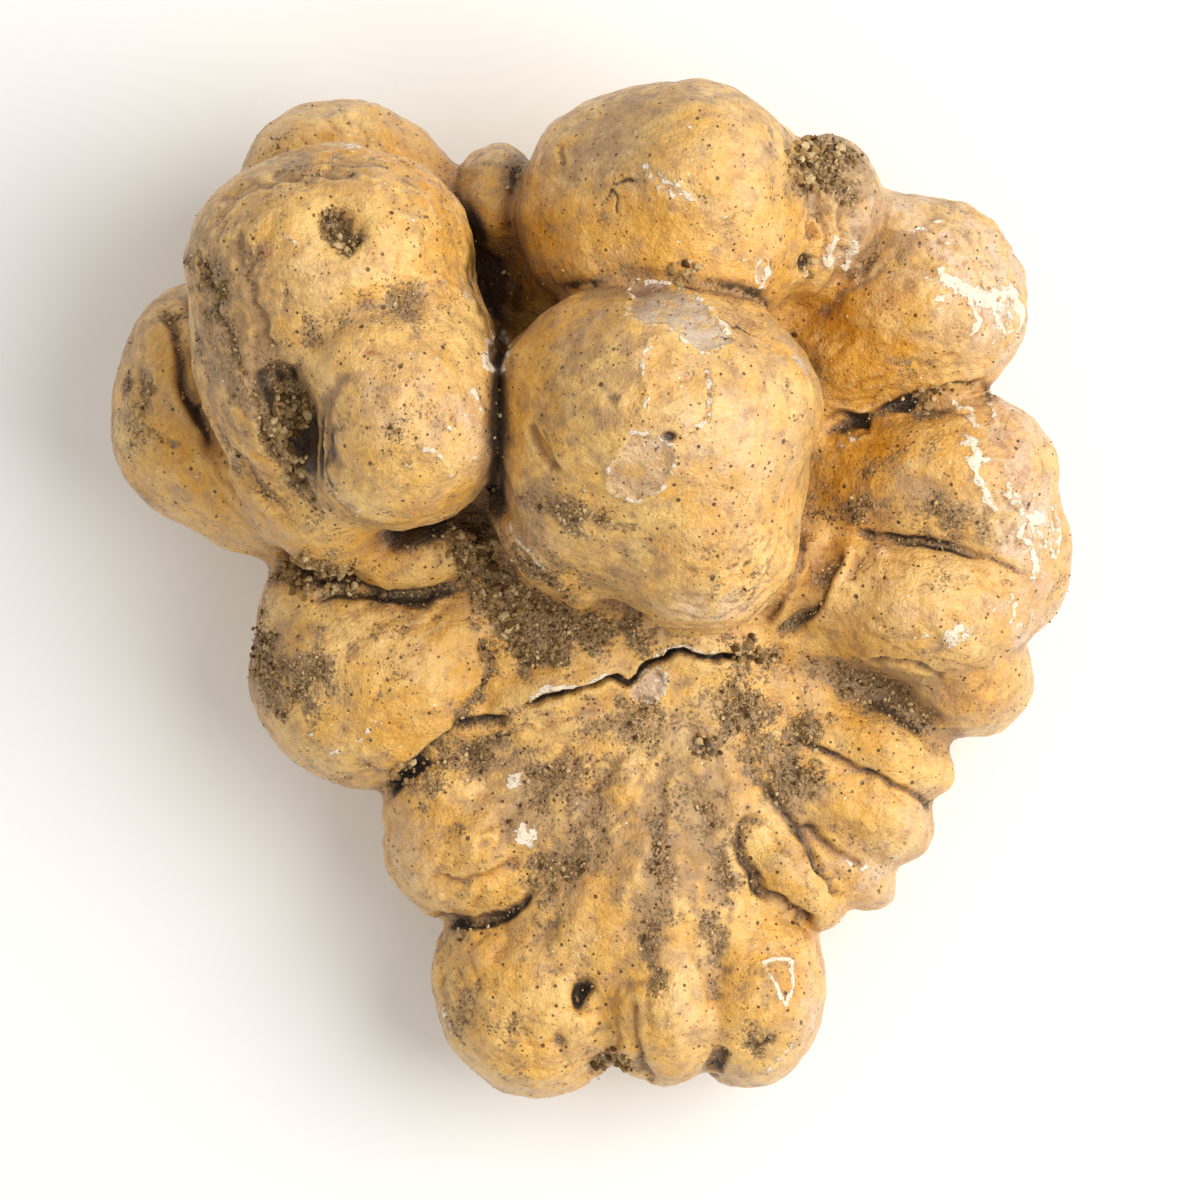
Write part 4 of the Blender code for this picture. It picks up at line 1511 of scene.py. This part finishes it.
def shade(red: int, green: int, blue: int) -> Colour:
    """Colour as the renderer wants it, from the 0 to 255 values that a screen shows.

    Args:
        red: Red.
        green: Green.
        blue: Blue.

    Returns:
        Linear colour with full alpha.
    """
    parts = []
    for value in (red, green, blue):
        part = value / 255
        parts.append(part / 12.92 if part <= 0.04045 else ((part + 0.055) / 1.055) ** 2.4)
    return (*parts, 1.0)


class Sheet:
    """Node tree with short ways to add nodes and join them."""

    def __init__(self, tree: bpy.types.NodeTree) -> None:
        """Take hold of a tree.

        Args:
            tree: The tree.
        """
        self.tree = tree

    def add(self, kind: str, **settings: object) -> bpy.types.Node:
        """New node.

        Args:
            kind: Blender's name of the node.
            **settings: Settings of the node itself.

        Returns:
            The node.
        """
        node = self.tree.nodes.new(kind)
        for name, value in settings.items():
            setattr(node, name, value)
        return node

    def feed(self, socket: Socket, value: Feed) -> None:
        """Join a socket to another, or set it.

        Args:
            socket: Input to feed.
            value: Another node's output, or a constant.
        """
        if isinstance(value, bpy.types.NodeSocket):
            self.tree.links.new(value, socket)
        else:
            socket.default_value = value

    def sum(self, kind: str, first: Feed, second: Feed = 0.0) -> Socket:
        """Arithmetic on two values.

        Args:
            kind: Blender's name of the operation.
            first: First value.
            second: Second value.

        Returns:
            The result.
        """
        node = self.add("ShaderNodeMath", operation=kind)
        self.feed(node.inputs[0], first)
        self.feed(node.inputs[1], second)
        return node.outputs[0]

    def plus(self, first: Feed, second: Feed) -> Socket:
        """Sum of two values."""
        return self.sum("ADD", first, second)

    def times(self, first: Feed, second: Feed) -> Socket:
        """Product of two values."""
        return self.sum("MULTIPLY", first, second)

    def most(self, first: Feed, second: Feed) -> Socket:
        """Larger of two values."""
        return self.sum("MAXIMUM", first, second)

    def step(self, value: Feed, low: Feed, high: Feed) -> Socket:
        """Smooth step from 0 at low to 1 at high.

        Args:
            value: Value to map.
            low: Value that gives 0.
            high: Value that gives 1.

        Returns:
            The mapped value.
        """
        node = self.add("ShaderNodeMapRange", interpolation_type="SMOOTHSTEP")
        for name, part in (("Value", value), ("From Min", low), ("From Max", high)):
            self.feed(node.inputs[name], part)
        return node.outputs["Result"]

    def mix(self, amount: Feed, under: Feed, over: Feed, blend: str = "MIX") -> Socket:
        """Colour laid over another.

        Args:
            amount: How much of the upper colour shows.
            under: Lower colour.
            over: Upper colour.
            blend: Blender's name of the way they blend.

        Returns:
            The mixed colour.
        """
        node = self.add("ShaderNodeMix", data_type="RGBA", blend_type=blend, clamp_factor=True)
        self.feed(node.inputs[0], amount)
        self.feed(node.inputs[6], under)
        self.feed(node.inputs[7], over)
        return node.outputs[2]

    def layer(self, name: str) -> Socket:
        """Value that the mesh itself holds under a name."""
        return self.add("ShaderNodeAttribute", attribute_name=name).outputs["Fac"]

    def places(self) -> Socket:
        """Place on the piece.

        Returns:
            The place, in millimetres.
        """
        source = self.add("ShaderNodeTexCoord").outputs["Object"]
        scale = self.add("ShaderNodeVectorMath", operation="SCALE")
        self.feed(scale.inputs[0], source)
        scale.inputs["Scale"].default_value = 1 / MM
        return scale.outputs[0]

    def group(self, tree: bpy.types.NodeTree, **values: Feed) -> Socket:
        """Shared effect.

        Args:
            tree: The effect's node group.
            **values: Its inputs by name.

        Returns:
            Its only output.
        """
        node = self.add("ShaderNodeGroup", node_tree=tree)
        for name, value in values.items():
            self.feed(node.inputs[name], value)
        return node.outputs[0]


def new_effect(name: str, inputs: dict[str, float | None], output: str) -> tuple[Sheet, bpy.types.Node,
                                                                                 bpy.types.Node]:
    """Empty node group with named sockets.

    Args:
        name: Name of the group.
        inputs: Default of each input, or None for a place in space.
        output: Name of its one output, a value.

    Returns:
        The group's sheet, its input node and its output node.
    """
    tree = bpy.data.node_groups.new(name, "ShaderNodeTree")
    for label, default in inputs.items():
        kind = "NodeSocketVector" if default is None else "NodeSocketFloat"
        socket = tree.interface.new_socket(label, in_out="INPUT", socket_type=kind)
        if default is not None:
            socket.default_value = default
    tree.interface.new_socket(output, in_out="OUTPUT", socket_type="NodeSocketFloat")
    sheet = Sheet(tree)
    return sheet, sheet.add("NodeGroupInput"), sheet.add("NodeGroupOutput")


@dataclass(frozen=True)
class Effects:
    """Effects that the skin and the soil share, each a node group."""

    clouds: bpy.types.NodeTree
    specks: bpy.types.NodeTree

    @classmethod
    def build(cls) -> Effects:
        """Make the groups once."""
        return cls(cls.make_clouds(), cls.make_specks())

    @staticmethod
    def make_clouds() -> bpy.types.NodeTree:
        """Soft uneven cloud from 0 to 1, with its size in millimetres.

        Returns:
            The node group.
        """
        inputs = {"Place": None, "Size": 1.0, "Detail": 3.0, "Rough": 0.55, "Low": 0.35, "High": 0.65}
        sheet, given, made = new_effect("soft_clouds", inputs, "Cloud")
        noise = sheet.add("ShaderNodeTexNoise")
        sheet.feed(noise.inputs["Vector"], given.outputs["Place"])
        sheet.feed(noise.inputs["Scale"], sheet.sum("DIVIDE", 1.0, given.outputs["Size"]))
        sheet.feed(noise.inputs["Detail"], given.outputs["Detail"])
        sheet.feed(noise.inputs["Roughness"], given.outputs["Rough"])
        cloud = sheet.step(noise.outputs[0], given.outputs["Low"], given.outputs["High"])
        sheet.feed(made.inputs[0], cloud)
        return sheet.tree

    @staticmethod
    def make_specks() -> bpy.types.NodeTree:
        """Scattered round specks: 1 in a speck, 0 outside, with sizes in millimetres.

        Returns:
            The node group.
        """
        inputs = {"Place": None, "Spacing": 1.0, "Radius": 0.2, "Share": 0.5}
        sheet, given, made = new_effect("scattered_specks", inputs, "Speck")
        cells = sheet.add("ShaderNodeTexVoronoi", feature="F1")
        sheet.feed(cells.inputs["Vector"], given.outputs["Place"])
        sheet.feed(cells.inputs["Scale"], sheet.sum("DIVIDE", 1.0, given.outputs["Spacing"]))
        away = sheet.sum("MULTIPLY", cells.outputs["Distance"], given.outputs["Spacing"])
        pick = sheet.add("ShaderNodeSeparateColor")
        sheet.feed(pick.inputs[0], cells.outputs["Color"])
        size = sheet.sum("MULTIPLY", given.outputs["Radius"], sheet.sum("ADD", pick.outputs[1], 0.4))
        inside = sheet.step(away, size, sheet.sum("MULTIPLY", size, 0.55))
        present = sheet.sum("LESS_THAN", pick.outputs[0], given.outputs["Share"])
        sheet.feed(made.inputs[0], sheet.sum("MULTIPLY", inside, present))
        return sheet.tree


@dataclass(frozen=True)
class Look:
    """One material's sheet, with the shared effects laid out over the piece."""

    sheet: Sheet
    effects: Effects
    place: Socket

    def cloud(self, size: float, low: float = 0.35, high: float = 0.65, detail: float = 3.0) -> Socket:
        """Cloud of one size.

        Args:
            size: Its size in millimetres.
            low: Noise that gives 0.
            high: Noise that gives 1.
            detail: How many finer layers it has.

        Returns:
            Value from 0 to 1.
        """
        return self.sheet.group(self.effects.clouds, Place=self.place, Size=size, Low=low, High=high,
                                Detail=detail)

    def specks(self, spacing: float, radius: float, share: float) -> Socket:
        """Round specks.

        Args:
            spacing: Distance between neighbours.
            radius: Middling radius.
            share: Part of the places that hold one.

        Returns:
            1 in a speck and 0 outside.
        """
        return self.sheet.group(self.effects.specks, Place=self.place, Spacing=spacing, Radius=radius,
                                Share=share)


@dataclass(frozen=True)
class SkinFinish:
    """Matt to waxy ochre skin: mottled, speckled, stained with soil and rubbed pale at its ends, with painted
    shade in folds, dips and gaps and painted highlights on bumps, glints and lit sides.
    """

    straw: Colour = shade(253, 214, 134)
    ochre: Colour = shade(244, 190, 88)
    tan: Colour = shade(208, 166, 114)
    gold: Colour = shade(228, 166, 48)
    pale: Colour = shade(240, 212, 182)
    rust: Colour = shade(182, 122, 80)
    film: Colour = shade(205, 190, 174)
    chalk: Colour = shade(252, 236, 214)
    dust: Colour = shade(166, 131, 94)
    soil_light: Colour = shade(204, 170, 124)
    soil_dark: Colour = shade(118, 86, 50)
    pore: Colour = shade(62, 34, 12)
    # Colour of the painted shade in cracks, holes, creases and gaps.
    painted_shade_colour: Colour = shade(34, 18, 7)
    roughness: float = 0.34
    soiled_roughness: float = 0.35
    shine: float = 0.5
    wax: float = 0.2
    wax_roughness: float = 0.2
    relief_strength: float = 0.9
    relief_height: float = 0.4

    def material(self, effects: Effects) -> bpy.types.Material:
        """Make the material.

        Args:
            effects: Shared effects.

        Returns:
            The material.
        """
        skin = bpy.data.materials.new("truffle_skin")
        skin.use_nodes = True
        sheet = Sheet(skin.node_tree)
        shader = skin.node_tree.nodes["Principled BSDF"]
        look = Look(sheet, effects, sheet.places())
        dust, soil = self.soil_cover(look)
        chalk, pores, glints = self.chalk_cover(look), self.pore_cover(look), self.glint_cover(look)
        # The dust cover is partly painted shade on steep sides, in dips and in sheltered places.
        colour = sheet.mix(dust, self.flesh_colour(look), self.dust)
        colour = sheet.mix(soil, colour, self.soil_colour(look))
        colour = sheet.mix(sheet.times(pores, 0.85), colour, self.pore)
        # Torn skin, and painted highlights for the glints, in the chalk colour.
        colour = sheet.mix(sheet.most(chalk, glints), colour, self.chalk)
        # Painted shade: near-black in cracks, holes, creases and gaps between lobes.
        dark = sheet.step(sheet.layer("dark"), 0.2, 0.95)
        colour = sheet.mix(sheet.times(dark, 0.9), colour, self.painted_shade_colour)
        sheet.feed(shader.inputs["Base Color"], colour)
        rough = sheet.plus(self.roughness, sheet.times(sheet.most(soil, dust), self.soiled_roughness))
        sheet.feed(shader.inputs["Roughness"], rough)
        shader.inputs["Specular IOR Level"].default_value = self.shine
        shader.inputs["Coat Weight"].default_value = self.wax
        shader.inputs["Coat Roughness"].default_value = self.wax_roughness
        sheet.feed(shader.inputs["Normal"], self.relief(look, soil, pores, chalk))
        return skin

    def flesh_colour(self, look: Look) -> Socket:
        """Colour of the skin under its soil, with painted shade in dips and folds and painted highlight on
        bumps.

        Args:
            look: Where the nodes go.

        Returns:
            The colour.
        """
        sheet = look.sheet
        colour = sheet.mix(look.cloud(8.0), self.straw, self.ochre)
        colour = sheet.mix(sheet.times(look.cloud(3.4, 0.42, 0.72, 5.0), 0.7), colour, self.tan)
        # The gold layer is partly painted shade and the pale layer partly painted highlight; rust is a real
        # stain.
        for layer, size, least, most, shade_of in (
            ("gold", 4.5, 0.45, 0.85, self.gold), ("pale", 3.0, 0.35, 0.9, self.pale),
            ("rust", 1.6, 0.2, 0.8, self.rust),
        ):
            amount = sheet.times(sheet.layer(layer), sheet.plus(look.cloud(size), least))
            colour = sheet.mix(sheet.times(amount, most), colour, shade_of)
        colour = sheet.mix(sheet.times(look.cloud(0.9, 0.3, 0.7, 5.0), 0.30), colour, self.tan, "MULTIPLY")
        colour = sheet.mix(sheet.times(look.cloud(1.7, 0.5, 0.74, 5.0), 0.5), colour, self.dust)
        # Painted shade and highlight by curvature: darker in dips, lighter straw on bumps.
        dip = sheet.step(sheet.layer("dip"), 0.55, 1.0)
        colour = sheet.mix(sheet.times(dip, 0.5), colour, self.tan, "MULTIPLY")
        bump = sheet.step(sheet.layer("dip"), 0.42, 0.05)
        colour = sheet.mix(sheet.times(bump, 0.4), colour, self.straw)
        film = sheet.plus(sheet.layer("film"), sheet.times(look.cloud(1.3, 0.3, 0.7, 5.0), 0.9))
        colour = sheet.mix(sheet.times(sheet.step(film, 0.75, 1.7), 0.85), colour, self.film)
        colour = sheet.mix(sheet.times(look.cloud(0.26, 0.35, 0.65, 2.0), 0.28), colour, self.tan, "MULTIPLY")
        # Painted shade: darker deep in folds and between lobes.
        deep = sheet.step(sheet.layer("shelter"), 0.25, 0.9)
        return sheet.mix(sheet.times(deep, 0.65), colour, self.dust, "MULTIPLY")

    def soil_cover(self, look: Look) -> tuple[Socket, Socket]:
        """How far a film of dust, partly painted shade, and caked soil hide the skin, with grainy edges.

        Args:
            look: Where the nodes go.

        Returns:
            Cover of dust with its painted shade, and of soil, each from 0 to 1.
        """
        sheet = look.sheet
        layer = sheet.layer("soil")
        patch = look.cloud(2.2, 0.25, 0.75, 6.0)
        speckled = sheet.times(look.cloud(0.8, 0.25, 0.75, 4.0), 0.35)
        dusty = sheet.plus(sheet.plus(sheet.layer("dust"), sheet.times(layer, 0.5)), speckled)
        dusty = sheet.plus(dusty, sheet.times(patch, 0.6))
        dust = sheet.times(sheet.step(dusty, 0.55, 1.5), 0.80)
        grain = look.cloud(0.42, 0.3, 0.7, 3.0)
        ragged = sheet.plus(layer, sheet.plus(grain, sheet.times(patch, 0.45)))
        return dust, sheet.times(sheet.step(ragged, 1.22, 1.75), 0.85)

    def soil_colour(self, look: Look) -> Socket:
        """Colour of the soil that cakes the skin.

        Args:
            look: Where the nodes go.

        Returns:
            The colour.
        """
        sheet = look.sheet
        colour = sheet.mix(look.cloud(0.7, 0.3, 0.66, 6.0), self.soil_dark, self.soil_light)
        colour = sheet.mix(sheet.times(look.specks(0.6, 0.17, 0.6), 0.9), colour, self.pore)
        return sheet.mix(sheet.times(look.specks(0.8, 0.15, 0.4), 0.75), colour, self.pale)

    def chalk_cover(self, look: Look) -> Socket:
        """How far torn, rubbed skin shows pale.

        Args:
            look: Where the nodes go.

        Returns:
            Cover from 0 to 1.
        """
        sheet = look.sheet
        edge = sheet.plus(sheet.layer("chalk"), sheet.times(look.cloud(0.9, 0.34, 0.66, 5.0), 0.9))
        return sheet.times(sheet.step(edge, 1.05, 1.32), 0.85)

    def pore_cover(self, look: Look) -> Socket:
        """Dark pores and specks of soil dotted over the skin.

        Args:
            look: Where the nodes go.

        Returns:
            Cover from 0 to 1.
        """
        sheet = look.sheet
        crowd = sheet.plus(sheet.times(look.cloud(7.0, 0.35, 0.6), 0.7), sheet.layer("soil"))
        few = sheet.most(look.specks(2.0, 0.24, 0.65), look.specks(1.1, 0.17, 0.55))
        return sheet.most(few, sheet.times(look.specks(0.65, 0.13, 0.7), crowd))

    def glint_cover(self, look: Look) -> Socket:
        """Tiny pale specks laid into the colour: painted glints, and flakes of lifted skin.

        Args:
            look: Where the nodes go.

        Returns:
            Cover from 0 to 1.
        """
        sheet = look.sheet
        crowd = look.cloud(6.0, 0.45, 0.65)
        return sheet.times(look.specks(0.9, 0.13, 0.45), sheet.plus(sheet.times(crowd, 0.6), 0.3))

    def relief(self, look: Look, soil: Socket, pores: Socket, chalk: Socket) -> Socket:
        """Fine relief that is too small for the mesh.

        Args:
            look: Where the nodes go.
            soil: Cover of soil.
            pores: Cover of pores.
            chalk: Cover of torn skin.

        Returns:
            Normal for the shader.
        """
        sheet = look.sheet
        grit = sheet.times(look.cloud(0.35, 0.2, 0.8), sheet.plus(sheet.times(soil, 1.1), 0.22))
        height = sheet.plus(sheet.times(look.cloud(1.5, 0.1, 0.9, 6.0), 0.8), grit)
        height = sheet.plus(height, sheet.times(chalk, 0.35))
        height = sheet.plus(height, sheet.times(pores, -0.5))
        bump = sheet.add("ShaderNodeBump")
        bump.inputs["Strength"].default_value = self.relief_strength
        bump.inputs["Distance"].default_value = self.relief_height * MM
        sheet.feed(bump.inputs["Height"], height)
        return bump.outputs[0]


@dataclass(frozen=True)
class SoilFinish:
    """Dry grey-brown soil, each crumb its own shade."""

    dark: Colour = shade(88, 62, 34)
    middle: Colour = shade(176, 142, 92)
    light: Colour = shade(230, 202, 150)
    roughness: float = 0.9
    shine: float = 0.2

    def material(self, effects: Effects) -> bpy.types.Material:
        """Make the material.

        Args:
            effects: Shared effects.

        Returns:
            The material.
        """
        soil = bpy.data.materials.new("dry_soil")
        soil.use_nodes = True
        sheet = Sheet(soil.node_tree)
        shader = soil.node_tree.nodes["Principled BSDF"]
        look = Look(sheet, effects, sheet.places())
        crumb = sheet.layer("crumb")
        colour = sheet.mix(sheet.step(crumb, 0.0, 0.5), self.dark, self.middle)
        colour = sheet.mix(sheet.step(crumb, 0.6, 1.0), colour, self.light)
        colour = sheet.mix(sheet.times(look.cloud(0.3, 0.3, 0.7, 2.0), 0.35), colour, self.dark)
        sheet.feed(shader.inputs["Base Color"], colour)
        shader.inputs["Roughness"].default_value = self.roughness
        shader.inputs["Specular IOR Level"].default_value = self.shine
        return soil


@dataclass(frozen=True)
class FloorFinish:
    """Plain warm white board that glows a little, so that it stays pale."""

    white: Colour = shade(240, 239, 236)
    glow: float = 0.13
    roughness: float = 0.85
    shine: float = 0.1

    def material(self) -> bpy.types.Material:
        """Make the material.

        Returns:
            The material.
        """
        board = bpy.data.materials.new("white_board")
        board.use_nodes = True
        shader = board.node_tree.nodes["Principled BSDF"]
        shader.inputs["Base Color"].default_value = self.white
        shader.inputs["Roughness"].default_value = self.roughness
        shader.inputs["Specular IOR Level"].default_value = self.shine
        shader.inputs["Emission Color"].default_value = self.white
        shader.inputs["Emission Strength"].default_value = self.glow
        return board


# --------------------------------------------------------------------------- studio
@dataclass(frozen=True)
class Studio:
    """Floor, soft light and the camera that looks straight down."""

    floor_size: float = 3.0
    lens_reach: float = 10.0
    camera_height: float = 1.025
    focus_height: float = 0.025
    frame_width: float = 128.9
    sensor: float = 36.0
    centre: Point = (1.1, -0.9)
    key_from: Place = (0.64, 0.06, 0.79)
    key_aim: Place = (0.0, 0.0, 0.02)
    key_colour: Place = (1.0, 0.985, 0.955)
    key_size: float = 1.0
    key_power: float = 10.3
    sky: Colour = (1.0, 0.985, 0.965, 1.0)
    sky_strength: float = 0.54

    def floor(self) -> bpy.types.Object:
        """Wide plain floor under the truffle.

        Returns:
            The floor.
        """
        shape = bmesh.new()
        bmesh.ops.create_grid(shape, x_segments=1, y_segments=1, size=self.floor_size / 2)
        mesh = bpy.data.meshes.new("floor")
        shape.to_mesh(mesh)
        shape.free()
        mesh.materials.append(FloorFinish().material())
        board = bpy.data.objects.new("floor", mesh)
        bpy.context.scene.collection.objects.link(board)
        return board

    def lights(self) -> None:
        """One broad soft light from the right, and pale surroundings."""
        lamp = bpy.data.lights.new("key", "AREA")
        lamp.shape = "DISK"
        lamp.size = self.key_size
        lamp.energy = self.key_power
        lamp.color = self.key_colour
        key = bpy.data.objects.new("key", lamp)
        key.location = self.key_from
        aim = Vector(self.key_aim) - Vector(self.key_from)
        key.rotation_euler = aim.to_track_quat("-Z", "Y").to_euler()
        bpy.context.scene.collection.objects.link(key)
        world = bpy.data.worlds.new("surroundings")
        world.use_nodes = True
        background = world.node_tree.nodes["Background"]
        background.inputs[0].default_value = self.sky
        background.inputs[1].default_value = self.sky_strength
        bpy.context.scene.world = world

    def camera(self, shift: np.ndarray) -> None:
        """Camera straight above the truffle, far enough off to flatten it a little.

        Args:
            shift: How far the skin was moved to its place in the frame.
        """
        lens = bpy.data.cameras.new("camera")
        lens.sensor_width = self.sensor
        distance = self.camera_height - self.focus_height
        lens.lens = self.sensor * distance / (self.frame_width * MM)
        lens.clip_end = self.lens_reach
        eye = bpy.data.objects.new("camera", lens)
        across, up = (place + move for place, move in zip(self.centre, shift))
        eye.location = (across * MM, up * MM, self.camera_height)
        bpy.context.scene.collection.objects.link(eye)
        bpy.context.scene.camera = eye

    def build(self, shift: np.ndarray) -> bpy.types.Object:
        """Set the studio up.

        Args:
            shift: How far the skin was moved to its place in the frame.

        Returns:
            The floor.
        """
        self.lights()
        self.camera(shift)
        bpy.context.scene.view_settings.view_transform = "Standard"
        return self.floor()


def corners(bounds: tuple[Vector, Vector]) -> list[list[float]]:
    """Box as plain lists.

    Args:
        bounds: Lowest and highest corner.

    Returns:
        The same as lists of numbers.
    """
    return [[float(value) for value in corner] for corner in bounds]


def main() -> None:
    """Build the truffle, its soil and the studio, and report each piece."""
    logging.basicConfig(level=logging.INFO, format="%(name)s: %(message)s")
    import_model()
    effects = Effects.build()
    truffle = Truffle()
    skin, draft = truffle.build()
    skin.data.materials.append(SkinFinish().material(effects))
    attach(skin, "root")
    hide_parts(truffle.node)
    LOG.info("%s: %d points", skin.name, len(skin.data.vertices))
    crumbs = SoilCrumbs()
    soil = crumbs.build(draft, truffle.shift, truffle.shelter)
    soil.data.materials.append(SoilFinish().material(effects))
    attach(soil, "root")
    LOG.info("%s: %d points", soil.name, len(soil.data.vertices))
    Studio().build(truffle.shift)


if __name__ == "__main__":
    main()
